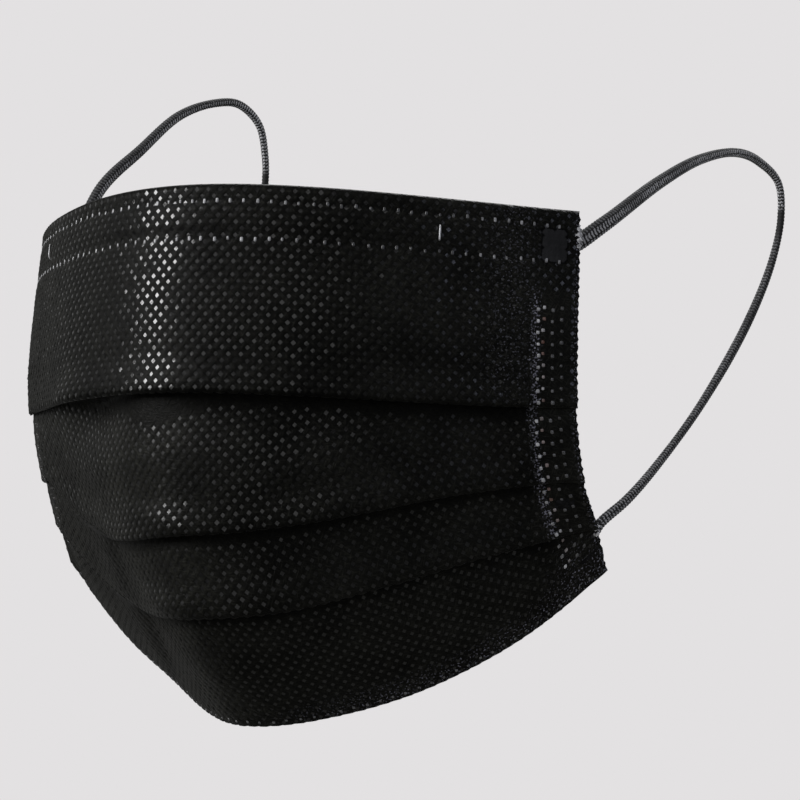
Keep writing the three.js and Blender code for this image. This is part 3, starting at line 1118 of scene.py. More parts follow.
    def _outer_faces(self, centres: Array, rims: Array, pit_corners: Array,
                     pits: Array) -> list[Array]:
        """Faces of the outer side, as arrays of triangles and quads.

        Args:
            centres: Numbers of the lattice points.
            rims: Numbers of the rims' corners, and -1 where there is none.
            pit_corners: Numbers of the pits' corners.
            pits: Which lattice points have a pit.

        Returns:
            The dots, the other triangles, and the quads.
        """
        dots, triangles, quads = [], [], []
        plain = self.even & ~pits
        for k in range(4):
            following = (k + 1) % 4
            dots.append(np.stack([centres[pits], pit_corners[k][pits],
                                  pit_corners[following][pits]], 1))
            quads.append(np.stack([pit_corners[k][pits], rims[k][pits], rims[following][pits],
                                   pit_corners[following][pits]], 1))
            closed = plain & (rims[k] >= 0) & (rims[following] >= 0)
            triangles.append(np.stack([centres[closed], rims[k][closed],
                                       rims[following][closed]], 1))
        around = np.full((4, *self.shape), -1)  # the rims' corners round an odd point
        around[0][:-1] = rims[2][1:]
        around[1][:, 1:] = rims[3][:, :-1]
        around[2][1:] = rims[0][:-1]
        around[3][:, :-1] = rims[1][:, 1:]
        for k in range(4):
            following = (k + 1) % 4
            closed = ~self.even & (around[k] >= 0) & (around[following] >= 0)
            triangles.append(np.stack([centres[closed], around[k][closed],
                                       around[following][closed]], 1))
        east, up, west, down = rims
        rising = self.even[:-1, 1:]
        quads.append(np.stack([east[:-1, 1:][rising], down[1:, :-1][rising],
                               west[1:, :-1][rising], up[:-1, 1:][rising]], 1))
        falling = self.even[:-1, :-1]
        quads.append(np.stack([down[:-1, :-1][falling], west[1:, 1:][falling],
                               up[1:, 1:][falling], east[:-1, :-1][falling]], 1))
        return [np.concatenate(dots), np.concatenate(triangles), np.concatenate(quads)]

    def _edge_faces(self, centres: Array, rims: Array, inner: Array) -> Array:
        """Five-cornered faces that close the cut edges, between the outer and the inner side.

        Args:
            centres: Numbers of the lattice points.
            rims: Numbers of the rims' corners, and -1 where there is none.
            inner: Numbers of the inner side's points.

        Returns:
            The faces.
        """
        faces = []
        for index, k, towards, turned in ((-1, 3, 1, False), (0, 3, 1, True)):
            outer, back = centres[index], inner[index]
            middle = np.where(rims[k][index][:-1] >= 0, rims[k][index][:-1],
                              rims[1][index][towards:])
            faces.append(self._band(outer, middle, back, turned))
        for index, k, towards, turned in ((0, 0, 1, False), (-1, 0, 1, True)):
            outer, back = centres[:, index], inner[:, index]
            middle = np.where(rims[k][:-1, index] >= 0, rims[k][:-1, index],
                              rims[2][towards:, index])
            faces.append(self._band(outer, middle, back, turned))
        return np.concatenate(faces)

    @staticmethod
    def _band(outer: Array, middle: Array, back: Array, turned: bool) -> Array:
        """Faces along one cut edge."""
        band = np.stack([outer[:-1], middle, outer[1:], back[1:], back[:-1]], 1)
        return band[:, ::-1] if turned else band


@dataclass(init=False)
class WeldMarks:
    """Rows of small melted dishes: one is modelled, and a copy is laid at every place."""

    corner: float = 0.55  # rounding of the footprint's corners
    sunk: float = -0.08  # mm from the cloth's face to the dish's foot
    tiers: Table = ((0.86, 0.12), (0.7, 0.06), (0.5, 0.03))  # each narrowing, and its rise in mm
    crown: float = 0.01
    half_line: int = 28  # marks of a dotted line to each side of its middle one
    row_pitch: float = 2.95  # mm from mark to mark along a dotted line
    column_pitch: float = 2.5  # mm from mark to mark down a side band
    column_pale: Numbers = (1.0, 0.8, 0.2, 0.12)
    unlit_stretch: Numbers = (18, 30, 58, 66)  # a line's marks are painted darker between these, where no glint falls, from nose to side, in s
    line_scatter: Numbers = (0.05, 0.15)  # in pitches along the line, and in mm across it
    pale_spread: Numbers = (0.6, 1.2)  # shares of the paleness and size, drawn for each mark
    size_spread: Numbers = (0.82, 1.1)
    band_scatter: float = 0.12  # mm
    top_clear: float = 19.8  # the side band starts this far below the top edge, in mm
    fold_clear: float = 1.2  # and this far below each fold
    first_row: Numbers = (1.3, 0.5)  # mm up to the first mark, and more in odd columns
    corner_clear: float = 8.5  # the band ends this far above the bottom edge, in mm
    left_pale: float = 0.1  # share of the paleness on the left side

    def __init__(self, cloth: FoldedCloth) -> None:
        """Keep the cloth, model the dish, and start a fixed draw.

        Args:
            cloth: The folded cloth.
        """
        self.cloth = cloth
        self.draw = np.random.default_rng(SEED)
        self.dish, self.dish_faces = self._model_dish()

    def _model_dish(self) -> tuple[Array, list[Array]]:
        """Model one dish, reaching 1 from its centre to each side, and rising in mm.

        Returns:
            Its points, and its triangles and quads.
        """
        bpy.ops.object.select_all(action="DESELECT")
        bpy.ops.mesh.primitive_plane_add(size=2, location=(0, 0, 0))
        piece = bpy.context.active_object
        bpy.ops.object.mode_set(mode="EDIT")
        bpy.ops.mesh.select_all(action="SELECT")
        bpy.ops.mesh.bevel(affect="VERTICES", offset=self.corner, segments=2)
        bpy.ops.mesh.select_all(action="SELECT")
        bpy.ops.transform.translate(value=(0, 0, self.sunk))
        for narrower, rise in self.tiers:
            bpy.ops.mesh.extrude_region_move(TRANSFORM_OT_translate={"value": (0, 0, rise)})
            bpy.ops.transform.resize(value=(narrower, narrower, 1))
        bpy.ops.mesh.select_all(action="DESELECT")
        bpy.ops.mesh.select_face_by_sides(number=4, type="GREATER")
        bpy.ops.mesh.poke(offset=self.crown)
        bpy.ops.mesh.select_all(action="SELECT")
        bpy.ops.mesh.normals_make_consistent(inside=False)
        bpy.ops.object.mode_set(mode="OBJECT")
        points = np.array([vertex.co for vertex in piece.data.vertices])
        faces = [tuple(face.vertices) for face in piece.data.polygons]
        bpy.data.meshes.remove(piece.data)
        return points, [np.array([f for f in faces if len(f) == count]) for count in (3, 4)]

    def build(self, name: str, marks: Sequence[Numbers],
              half_width: float, half_height: float) -> bpy.types.Object:
        """Make one mesh of all the marks.

        Args:
            name: The piece's name.
            marks: Places (s, t) on the cloth, each with its paleness and its warmth, 0 to 1.
            half_width: Half the size of a mark along s, in mm.
            half_height: Half its size along t.

        Returns:
            The new object.
        """
        x, y, z = self.dish.T
        s, t, pale, warm, faces = [], [], [], [], []
        for number, (mark_s, mark_t, mark_pale, mark_warm) in enumerate(marks):
            pale.append(np.full(len(x), mark_pale * self.draw.uniform(*self.pale_spread)))
            warm.append(np.full(len(x), mark_warm * self.draw.uniform(0, 1)))
            grow = self.draw.uniform(*self.size_spread)
            s.append(mark_s + half_width * grow * x)
            t.append(mark_t - half_height * grow * y)
            faces += [corners + number * len(x) for corners in self.dish_faces]
        points = self.cloth.front(np.concatenate(s), np.concatenate(t), np.tile(z, len(marks)))
        return make_mesh(name, points, faces, values={
            "pale": np.concatenate(pale), "warm": np.concatenate(warm)})

    def line(self, t: float, pale: float, least: float = 1.0) -> list[Numbers]:
        """Marks of a dotted line across the cloth.

        Args:
            t: Where the line runs, in mm down the cloth.
            pale: How pale its marks are, 0 to 1.
            least: Share of the paleness that is left between the nose and the side.

        Returns:
            The marks.
        """
        along, across = self.line_scatter
        marks = []
        for i in range(-self.half_line, self.half_line + 1):
            s = self.row_pitch * (i + self.draw.uniform(-along, along))
            # the marks are painted darker along the stretch where no glint falls on them
            unlit_stretch = float(smooth(s, *self.unlit_stretch[:2]) * (1 - smooth(s, *self.unlit_stretch[2:])))
            marks.append((s, t + self.draw.uniform(-across, across),
                          pale * mix(1, least, unlit_stretch), 0.0))
        return marks

    def band(self, side: Side) -> list[Numbers]:
        """Marks of one side band, on the four panels. The inner columns are painted the palest, as
        glints on the gathered ridge.

        Args:
            side: Which side.

        Returns:
            The marks.
        """
        first, stagger = self.first_row
        bright = 1.0 if side is Side.RIGHT else self.left_pale
        marks = []
        for number, column in enumerate(FoldedCloth.side_welds):
            heights = self.cloth.sheet.heights(np.array([column]))[0]
            for panel in range(4):
                lower = self.cloth.lines[panel + 1]
                most = heights[panel] - (self.fold_clear if panel else self.top_clear)
                for left in np.arange(first + stagger * (number % 2), most, self.column_pitch):
                    if panel == 3 and left < self.corner_clear:
                        continue
                    scatter = self.draw.uniform(-self.band_scatter, self.band_scatter)
                    marks.append((side.value * (column + scatter), lower - left,
                                  self.column_pale[number] * bright, float(number == 1)))
        return marks


# ---- Ear loops ----


@dataclass(frozen=True)
class LoopCorner:
    """Where a cord is welded on: its name, the row, and mm down from it and out from the sheet."""

    word: str
    row: int
    down: float
    out: float


TOP_CORNER = LoopCorner("top", 0, 6.0, -3.6)
BOTTOM_CORNER = LoopCorner("bottom", 4, -8.4, -3.1)


@dataclass(frozen=True)
class EarLoop:
    """The free stretch of one ear loop, in mm, from its top corner to its bottom corner."""

    side: Side
    route: tuple[tuple[float, float, float], ...]

    @property
    def word(self) -> str:
        """Name of the side, in small letters."""
        return self.side.name.lower()


EAR_LOOPS = (
    EarLoop(Side.RIGHT, (
        (71, 52.5, 0.5), (73.5, 75.5, 11.5), (75.5, 92.5, 18), (77.5, 108, 21), (78.5, 119, 20),
        (80, 127.5, 15.5), (80, 129, 8), (79.5, 125, -2.5), (78, 114, -17.5), (75.5, 94, -36.5),
        (73.5, 75.5, -50), (72, 61.5, -58.5))),
    EarLoop(Side.LEFT, (
        (-66.5, 59, 15.5), (-64.5, 72.5, 26), (-62.5, 86.5, 36), (-60.5, 99.5, 40.5),
        (-59, 108.5, 41), (-58, 116, 36.5), (-57.5, 118, 29), (-57.5, 118, 21), (-58.5, 114, 4),
        (-61, 103, -18), (-65, 86, -38), (-69.5, 65, -56))),
)


def through(points: Array, steps: int) -> Array:
    """A smooth line through points: centripetal Catmull-Rom, as the frame's cords are.

    Args:
        points: The points to pass.
        steps: Steps from each point to the next.

    Returns:
        The line's points.
    """
    points = np.concatenate([[2 * points[0] - points[1]], points, [2 * points[-1] - points[-2]]])
    line = []
    for p0, p1, p2, p3 in zip(points, points[1:], points[2:], points[3:]):
        d1, d2, d3 = (max(math.sqrt(np.linalg.norm(b - a)), 1e-4)
                      for a, b in ((p0, p1), (p1, p2), (p2, p3)))
        m1 = ((p1 - p0) / d1 - (p2 - p0) / (d1 + d2) + (p2 - p1) / d2) * d2
        m2 = ((p2 - p1) / d2 - (p3 - p1) / (d2 + d3) + (p3 - p2) / d3) * d2
        q = (np.arange(steps) / steps)[:, None]
        line.append(p1 * (2 * q ** 3 - 3 * q ** 2 + 1) + p2 * (3 * q ** 2 - 2 * q ** 3)
                    + m1 * (q ** 3 - 2 * q ** 2 + q) + m2 * (q ** 3 - q ** 2))
    return np.concatenate([*line, points[-2:-1]])


def evenly(line: Array, step: float) -> Array:
    """The line again, with points that step apart.

    Args:
        line: Points of the line.
        step: Distance between points, in mm.

    Returns:
        The new points.
    """
    along = np.concatenate([[0], np.cumsum(np.linalg.norm(np.diff(line, axis=0), axis=1))])
    at = np.linspace(0, along[-1], round(along[-1] / step) + 1)
    return np.stack([np.interp(at, along, line[:, k]) for k in range(3)], 1)


@dataclass(init=False)
class KnitCord:
    """A soft tubular knit: ridges of V stitches run along it."""

    sides: int = 36
    step: float = 0.2  # mm from ring to ring
    wales: int = 6  # ridges of stitches round the cord
    stitch: float = 0.85  # mm from stitch to stitch
    slant: float = 0.3  # how far a stitch leans, in stitches
    relief: float = 0.13  # mm
    diameter: float = 0.0021  # metres
    groove: float = 0.8  # share by which stitches sink between two ridges
    groove_power: int = 8  # and how sharply they do
    map_mm: int = 10  # mm of cord to one unit of the map
    outer_tone: float = 0.15  # the outer side of the loop is darker, by this share
    # Half widths: share of the length, across the cloth's normal, and along it.
    profile: Table = (
        (0.0, 2.0, 0.55), (0.02, 1.95, 0.7), (0.045, 1.85, 1.0), (0.1, 1.65, 1.2),
        (0.17, 1.5, 1.15), (0.24, 1.3, 1.1), (0.33, 1.0, 1.0), (0.4, 1.02, 0.95),
        (0.44, 0.93, 0.85), (0.5, 0.86, 0.82), (0.55, 1.03, 0.92), (0.61, 1.12, 1.0),
        (0.68, 1.12, 1.0), (0.74, 0.95, 0.92), (0.8, 0.88, 0.88), (0.87, 0.98, 0.95),
        (0.94, 1.15, 1.0), (0.97, 1.35, 0.9), (0.985, 1.6, 0.7), (1.0, 1.9, 0.55),
    )
    tones: Table = (
        (0.0, 0.65), (0.2, 0.68), (0.3, 0.78), (0.44, 0.85), (0.468, 0.75), (0.476, 0.0),
        (0.496, 0.0), (0.512, 0.16), (0.6, 0.2), (0.72, 0.26), (0.9, 0.42), (1.0, 0.8),
    )
    # Its start, from the weld past the side edge: each place's s, and its rise off the weld.
    lead: Table = ((80.0, 0.75), (82.5, 0.6), (85.3, 0.25), (87.2, -0.35), (89.0, -1.2))
    lead_row: float = 0.14  # row at which the start's flat side is laid against the cloth
    line_steps: int = 40  # steps of the middle line between two points of its route

    def __init__(self, sheet: CurvedSheet, loop: EarLoop) -> None:
        """Lay the middle line of the cord.

        Args:
            sheet: The sheet that carries it.
            loop: The loop's free stretch.
        """
        self.loop = loop
        self.sheet = sheet
        route = np.array(loop.route, float)
        points = np.concatenate([self._lead(TOP_CORNER), route, self._lead(BOTTOM_CORNER)[::-1]])
        self.line = evenly(through(points, self.line_steps), self.step)

    def _lead(self, corner: LoopCorner) -> Array:
        """The start of the cord, from its weld past the side edge.

        Args:
            corner: Where it is welded on.

        Returns:
            Points of the middle line.
        """
        s, rise = (np.array(column) for column in zip(*self.lead))
        s = s * self.loop.side.value
        heights = self.sheet.heights(s)
        height = heights[:, 0] if corner.row == 0 else heights[:, 3]
        return self.sheet.place(s, corner.row + corner.down / height, corner.out + rise)

    def length(self) -> float:
        """Length of the middle line in mm."""
        return float(np.linalg.norm(np.diff(self.line, axis=0), axis=1).sum())

    def build(self) -> bpy.types.Object:
        """Make the knitted tube, closed at both ends.

        Returns:
            The new object.
        """
        line = self.line
        count = len(line)
        tangents = unit(np.gradient(line, axis=0))
        across = np.zeros_like(line)
        start = np.array([self.lead[0][0] * self.loop.side.value])
        lifted, laid = (self.sheet.place(start, np.array([self.lead_row]), np.array([out]))[0]
                        for out in (1.0, 0.0))
        normal = lifted - laid
        across[0] = unit(np.cross(normal, tangents[0]))
        for i in range(1, count):
            carried = across[i - 1] - tangents[i] * (across[i - 1] @ tangents[i])
            across[i] = unit(carried)
        upright = np.cross(tangents, across)
        share = np.linspace(0, 1, count)
        at, wide, thick = (np.array(column) for column in zip(*self.profile))
        half_width = np.interp(share, at, wide)[:, None]
        half_thick = np.interp(share, at, thick)[:, None]

        angle = 2 * math.pi * np.arange(self.sides) / self.sides
        wale = (angle / (2 * math.pi) * self.wales)[None, :]
        along = (np.arange(count) * self.step / self.stitch)[:, None]
        from_middle = np.abs(wale % 1 - 0.5) * 2
        stitch = 0.5 + 0.5 * np.cos(2 * math.pi * (along - self.slant * from_middle))
        crest = stitch * (1 - self.groove * from_middle ** self.groove_power)
        rise = self.relief * (crest - 0.5)
        ring_x = (half_width + rise) * np.cos(angle)
        ring_y = (half_thick + rise) * np.sin(angle)
        rings = (line[:, None] + across[:, None] * ring_x[..., None]
                 + upright[:, None] * ring_y[..., None])
        points = np.concatenate([rings.reshape(-1, 3), line[:1], line[-1:]])
        tube = grid_faces(count, self.sides, wraps=True)
        turn = np.arange(self.sides)
        following = (turn + 1) % self.sides
        first, last = count * self.sides, count * self.sides + 1
        caps = np.concatenate([
            np.stack([np.full(self.sides, first), following, turn], 1),
            np.stack([np.full(self.sides, last), turn + (count - 1) * self.sides,
                      following + (count - 1) * self.sides], 1)])
        u = np.broadcast_to(angle / (2 * math.pi), (count, self.sides)).ravel()
        v = np.repeat(np.arange(count) * self.step / self.map_mm, self.sides)
        uv = np.stack([np.append(u, [0, 0]), np.append(v, [0, v[-1]])], 1)
        middle = line.mean(0)
        outwards = np.sign(((line - middle) * across).sum(1))[:, None] * np.cos(angle)
        tone = np.interp(share, *zip(*self.tones))[:, None] * mix(
            1.0, self.outer_tone, smooth(outwards, 0.2, 0.9))
        values = {"crest": np.append(crest.ravel(), [0, 0]),
                  "tone": np.append(tone.ravel(), [0, 0])}
        return make_mesh(f"ear_cord_{self.loop.word}", points, [tube, caps], uv, values)


@dataclass(init=False)
class CordWeld:
    """The flattened end of a cord, melted onto the inside of a corner by a ribbed horn."""

    middle: float = 80.4  # in s
    settled: float = 0.75  # mm from the corner's place out to the pad's middle layer
    length: float = 10.5
    width: float = 4.6
    thickness: float = 1.0
    squareness: int = 5  # power of the outline: 2 is an ellipse
    radial: int = 16
    sides: int = 56
    rib: float = 0.9  # spacing of the horn's ribs, in mm
    rib_depth: float = 0.16

    def __init__(self, sheet: CurvedSheet, side: Side, corner: LoopCorner) -> None:
        """Keep where the weld lies."""
        self.sheet, self.side, self.corner = sheet, side, corner

    def build(self) -> bpy.types.Object:
        """Make the pad as a closed disc with ribs pressed in its inner face.

        Returns:
            The new object.
        """
        angle = 2 * math.pi * np.arange(self.sides) / self.sides
        square = (np.abs(np.cos(angle)) ** self.squareness
                  + np.abs(np.sin(angle)) ** self.squareness) ** (-1 / self.squareness)
        x = self.length / 2 * square * np.cos(angle)
        y = self.width / 2 * square * np.sin(angle)
        reach = np.linspace(1, 0, self.radial, endpoint=False)
        along, down = (np.outer(reach, c) for c in (x, y))
        rib = np.cos(2 * math.pi * (along + down) / self.rib)
        rib = np.maximum(rib, np.cos(2 * math.pi * (along - down) / self.rib))
        soft_edge = np.sqrt(np.clip(1 - reach[:, None] ** 10, 0, 1))
        inner = self.thickness / 2 * soft_edge + self.rib_depth * rib * (reach[:, None] < 0.9)
        outer = np.broadcast_to(-self.thickness / 2 * soft_edge, inner.shape)
        s = (self.middle - along) * self.side.value
        middle = self.corner.out + self.settled
        height = self.sheet.heights(s.ravel())[:, 0 if self.corner.row == 0 else 3]
        row = self.corner.row + (self.corner.down + down.ravel()) / height
        faces = [self.sheet.place(s.ravel(), row, middle - lift.ravel())
                 for lift in (inner, outer)]
        centre_row = self.corner.row + self.corner.down / height[:2]
        centre = self.sheet.place(np.full(2, self.middle * self.side.value), centre_row,
                                  middle + np.array([-0.5, 0.5]) * self.thickness)
        points = np.concatenate([*faces, centre])
        count = self.radial * self.sides
        turn = np.arange(self.sides)
        following = (turn + 1) % self.sides
        inner_side = grid_faces(self.radial, self.sides, wraps=True)
        outer_side = grid_faces(self.radial, self.sides, wraps=True, start=count)[:, ::-1]
        rim = np.stack([turn, turn + count, following + count, following], 1)
        last = count - self.sides
        caps = np.concatenate([
            np.stack([np.full(self.sides, 2 * count), last + turn, last + following], 1),
            np.stack([np.full(self.sides, 2 * count + 1), last + count + following,
                      last + count + turn], 1)])
        quads = np.concatenate([inner_side, outer_side, rim])
        if self.side is Side.RIGHT:
            quads, caps = quads[:, ::-1], caps[:, ::-1]
        name = f"cord_weld_{self.corner.word}_{self.side.name.lower()}"
        return make_mesh(name, points, [quads, caps])


@dataclass(init=False)
class FilterFray:
    """White filter ply that shows as a ragged lip behind the cut edge where a cord crosses it."""

    steps: int = 34
    thickness: float = 0.22
    reach: float = 0.75  # mm past the cut edge, at most
    tuft_pitch: float = 1.3  # mm
    uneven: Numbers = (0.6, 1.1)  # shares of the reach, drawn along the lip
    rim_rise: Numbers = (-0.2, 0.3)  # mm by which its rim rises, drawn along it
    tuft_phase: float = 0.6  # radians
    fade: float = 0.12  # radians of a half turn that are cut off at each end
    root: float = 1.2  # mm inside the cut edge
    edge: float = 0.2  # mm inside it, where the lip starts to flare
    behind: float = 0.05  # mm behind the cloth's middle layer

    def __init__(self, cloth: FoldedCloth, side: Side, t_from: float, t_to: float,
                 name: str) -> None:
        """Keep where the lip shows.

        Args:
            cloth: The folded cloth.
            side: Which side.
            t_from: Where the lip starts.
            t_to: Where it ends.
            name: The piece's name.
        """
        self.cloth, self.side, self.name = cloth, side, name
        self.t = np.linspace(t_from, t_to, self.steps)
        self.draw = np.random.default_rng(SEED + len(name))

    def build(self) -> bpy.types.Object:
        """Make the lip as a closed ribbon with an uneven outer edge.

        Returns:
            The new object.
        """
        tuft = 0.5 + 0.5 * np.sin(self.t * 2 * math.pi / self.tuft_pitch + self.tuft_phase)
        fade = np.sin(np.linspace(self.fade, math.pi - self.fade, self.steps))
        reach = self.reach * (0.25 + 0.75 * tuft) * fade
        reach = reach * self.draw.uniform(*self.uneven, self.steps)
        half = CurvedSheet.half_width
        across = [np.full(self.steps, half - self.root), half - self.edge + 0.3 * reach,
                  half + reach]
        heights = [np.zeros(self.steps), 0.1 + 0.25 * tuft,
                   self.draw.uniform(*self.rim_rise, self.steps)]
        layers = []
        for shift in (0.5, -0.5):
            for s, rise in zip(across, heights):
                layers.append(self.cloth.place(
                    self.side.value * s, self.t,
                    rise - self.behind + shift * self.thickness))
        points = np.concatenate(layers)
        n = self.steps
        loops = [0, 1, 2, 5, 4, 3]
        quads = []
        for a, b in zip(loops, loops[1:] + loops[:1]):
            i = np.arange(n - 1)
            quads.append(np.stack([a * n + i, a * n + i + 1, b * n + i + 1, b * n + i], 1))
        ends = np.array([[k * n for k in loops], [k * n + n - 1 for k in loops[::-1]]])
        if self.side is Side.LEFT:
            quads, ends = [q[:, ::-1] for q in quads], ends[:, ::-1]
        return make_mesh(self.name, points, [np.concatenate(quads), ends])


# ---- Finishes ----


def set_inputs(material: bpy.types.ID, node: bpy.types.Node,
               inputs: dict[str | int, Any]) -> None:
    """Give a node's sockets their values or links.

    Args:
        material: What holds the node tree.
        node: The node.
        inputs: For each socket, a value, or an output socket to link.
    """
    for key, value in inputs.items():
        if isinstance(value, Socket):
            material.node_tree.links.new(value, node.inputs[key])
        else:
            node.inputs[key].default_value = value


def add_node(material: bpy.types.ID, kind: str, settings: dict[str, Any] | None = None,
             inputs: dict[str | int, Any] | None = None) -> bpy.types.Node:
    """Add a node to a material or world.

    Args:
        material: What holds the node tree.
        kind: The node's type, without its ShaderNode prefix.
        settings: Values of the node's own settings.
        inputs: For each socket, a value, or an output socket to link.

    Returns:
        The new node.
    """
    node = material.node_tree.nodes.new("ShaderNode" + kind)
    for key, value in (settings or {}).items():
        setattr(node, key, value)
    set_inputs(material, node, inputs or {})
    return node


def start_material(name: str) -> tuple[Material, bpy.types.Node]:
    """Make an empty material with a Principled shader.

    Args:
        name: The material's name.

    Returns:
        The material and its shader.
    """
    material = bpy.data.materials.new(name)
    material.use_nodes = True
    material.node_tree.nodes.clear()
    shader = add_node(material, "BsdfPrincipled")
    add_node(material, "OutputMaterial", inputs={"Surface": shader.outputs[0]})
    return material, shader


def shaded(material: Material, factor: Socket, low: float, high: float,
           to_low: str, to_high: str) -> Socket:
    """Go from one colour to another as a number rises.

    Args:
        material: What holds the node tree.
        factor: The number's socket.
        low: The number that gives to_low.
        high: The number that gives to_high.
        to_low: Hex colour at low.
        to_high: Hex colour at high.

    Returns:
        The colour's socket.
    """
    share = add_node(material, "MapRange", inputs={0: factor, 1: low, 2: high, 3: 0.0, 4: 1.0})
    return add_node(material, "Mix", {"data_type": "RGBA"}, {
        0: share.outputs[0], 6: linear(to_low), 7: linear(to_high)}).outputs[2]


def tinted(material: Material, colour: Socket,
           tint: Socket) -> Socket:
    """Darken a colour by a tint.

    Args:
        material: What holds the node tree.
        colour: The colour's socket.
        tint: The tint's socket: white leaves the colour as it is.

    Returns:
        The darker colour's socket.
    """
    return add_node(material, "Mix", {"data_type": "RGBA", "blend_type": "MULTIPLY"}, {
        0: 1.0, 6: colour, 7: tint}).outputs[2]


CRINKLE_MM = 1.5  # spacing of the cloth's small crinkles
CRINKLE_HEIGHT = 0.0007  # metres


def crinkled(material: Material,
             place: Socket) -> Socket:
    """A normal for small crinkles, where the crinkle attribute is high.

    Args:
        material: What holds the node tree.
        place: Socket of the place on the cloth's map.

    Returns:
        The normal's socket.
    """
    share = add_node(material, "Attribute", {"attribute_name": "crinkle"}).outputs["Fac"]
    noise = add_node(material, "TexNoise", inputs={
        "Vector": place, "Scale": PressedCloth.map_mm / CRINKLE_MM, "Detail": 2.0}).outputs[0]
    return add_node(material, "Bump", inputs={
        "Strength": share, "Distance": CRINKLE_HEIGHT, "Height": noise}).outputs[0]


@dataclass(frozen=True)
class Spunbond:
    """Spunbond polypropylene: a dark matte web of drawn filaments, crossing at random."""

    name: str
    cloth: str
    fibre: str
    # colour of the dots: on the outer ply it runs down each pit's walls as a painted shadow; on a
    # plain face it fills the drawn dots
    bond: str
    has_dots_in_mesh: bool = True
    pad: str = "39393b"  # the flat pad that a welding horn leaves
    packed_and_shaded: str = "a0a0a0"  # tint where the web is pressed down beside a dot, and painted shade there and under the folds' lips
    thin: str = "a8a8a8"  # tint where the web is thin
    cloud_mm: float = 14.0  # size of the web's thick and thin patches
    fibre_mm: float = 0.3  # real filaments are 0.02 mm thick, and are drawn coarser
    fibre_length: float = 7.0  # in widths of a filament
    fibre_turns: Numbers = (0.5, -0.9, 1.7)  # headings of the filaments, in radians
    fibre_height: float = 0.0003  # metres
    stressed_and_sheen: str = "74747f"  # strained cloth whitens in specks at a weld; partly painted sheen and glints
    speck_mm: float = 0.5
    speck_gain: float = 0.12  # how much strain, with painted sheen, widens the specks
    rough: float = 0.4
    specular: float = 0.03
    sheen: float = 0.03
    sheen_rough: float = 0.35

    def build(self) -> Material:
        """Make the material.

        Returns:
            The material.
        """
        material, shader = start_material(self.name)
        place = add_node(material, "UVMap", {"uv_map": "cloth_map"}).outputs[0]
        fibres = self._fibres(material, place)
        padded = None
        if self.has_dots_in_mesh:
            bond = add_node(material, "Attribute", {"attribute_name": "bond"}).outputs["Fac"]
            shine, padded = (
                add_node(material, "MapRange", inputs={
                    0: bond, 1: low, 2: high, 3: 0.0, 4: 1.0}).outputs[0]
                for low, high in ((0.1, 0.5), (0.6, 0.9)))
        else:
            shine = self._drawn_dots(material, place)
        cloudy = add_node(material, "TexNoise", inputs={
            "Vector": place, "Scale": PressedCloth.map_mm / self.cloud_mm,
            "Detail": 3.0}).outputs[0]
        base = shaded(material, fibres, 0.55, 0.74, self.cloth, self.fibre)
        for share, colour in ((shine, self.bond), (padded, self.pad)):
            if share is not None:
                base = add_node(material, "Mix", {"data_type": "RGBA"}, {
                    0: share, 6: base, 7: linear(colour)}).outputs[2]
        base = tinted(material, base, shaded(material, cloudy, 0.3, 0.7, self.thin, "ffffff"))
        # darkens the web round the dots and under the lips: pressed-down web and painted shade
        packing_and_shade = add_node(material, "Attribute", {"attribute_name": "packing_and_shade"}).outputs["Fac"]
        base = tinted(material, base, shaded(material, packing_and_shade, 0.0, 1.0, "ffffff", self.packed_and_shaded))
        bump = add_node(material, "Bump", inputs={
            "Strength": 0.8, "Distance": self.fibre_height, "Height": fibres,
            "Normal": crinkled(material, place)})
        base = add_node(material, "Mix", {"data_type": "RGBA"}, {
            0: self._specks(material, place), 6: base, 7: linear(self.stressed_and_sheen)}).outputs[2]
        set_inputs(material, shader, {
            "Base Color": base, "Normal": bump.outputs[0], "Roughness": self.rough,
            "Specular IOR Level": self.specular, "Sheen Weight": self.sheen,
            "Sheen Roughness": self.sheen_rough})
        return material

    def _fibres(self, material: Material,
                place: Socket) -> Socket:
        """Draw layers of long thin filaments, each layer at its own heading.

        Args:
            material: What holds the node tree.
            place: Socket of the place on the cloth's map.

        Returns:
            Socket of the height of the uppermost layer.
        """
        width = self.fibre_mm / PressedCloth.map_mm
        fibres = None
        for turn in self.fibre_turns:
            stretched = add_node(material, "Mapping", {"vector_type": "TEXTURE"}, {
                "Vector": place, "Rotation": (0, 0, turn),
                "Scale": (width, self.fibre_length * self.fibre_mm / PressedCloth.map_mm, 1)})
            layer = add_node(material, "TexNoise", inputs={
                "Vector": stretched.outputs[0], "Scale": 1.0, "Detail": 2.0}).outputs[0]
            fibres = layer if fibres is None else add_node(
                material, "Math", {"operation": "MAXIMUM"}, {0: fibres, 1: layer}).outputs[0]
        return fibres

    def _drawn_dots(self, material: Material,
                    place: Socket) -> Socket:
        """Draw the dot lattice in the shader, for a face whose mesh is plain.

        Args:
            material: What holds the node tree.
            place: Socket of the place on the cloth's map.

        Returns:
            A socket that is 1 on the dots and 0 between them.
        """
        pitch = 2 * CurvedSheet.half_width / PressedCloth.columns
        turned = add_node(material, "Mapping", inputs={
            "Vector": place, "Rotation": (0, 0, math.pi / 4),
            "Scale": (PressedCloth.map_mm / pitch * math.sqrt(2),) * 3})
        dots = add_node(material, "TexVoronoi", {"distance": "CHEBYCHEV"}, {
            "Vector": turned.outputs[0], "Scale": 1.0, "Randomness": 0.0})
        return add_node(material, "MapRange", inputs={
            0: dots.outputs["Distance"], 1: 0.30, 2: 0.22, 3: 0.0, 4: 1.0}).outputs[0]

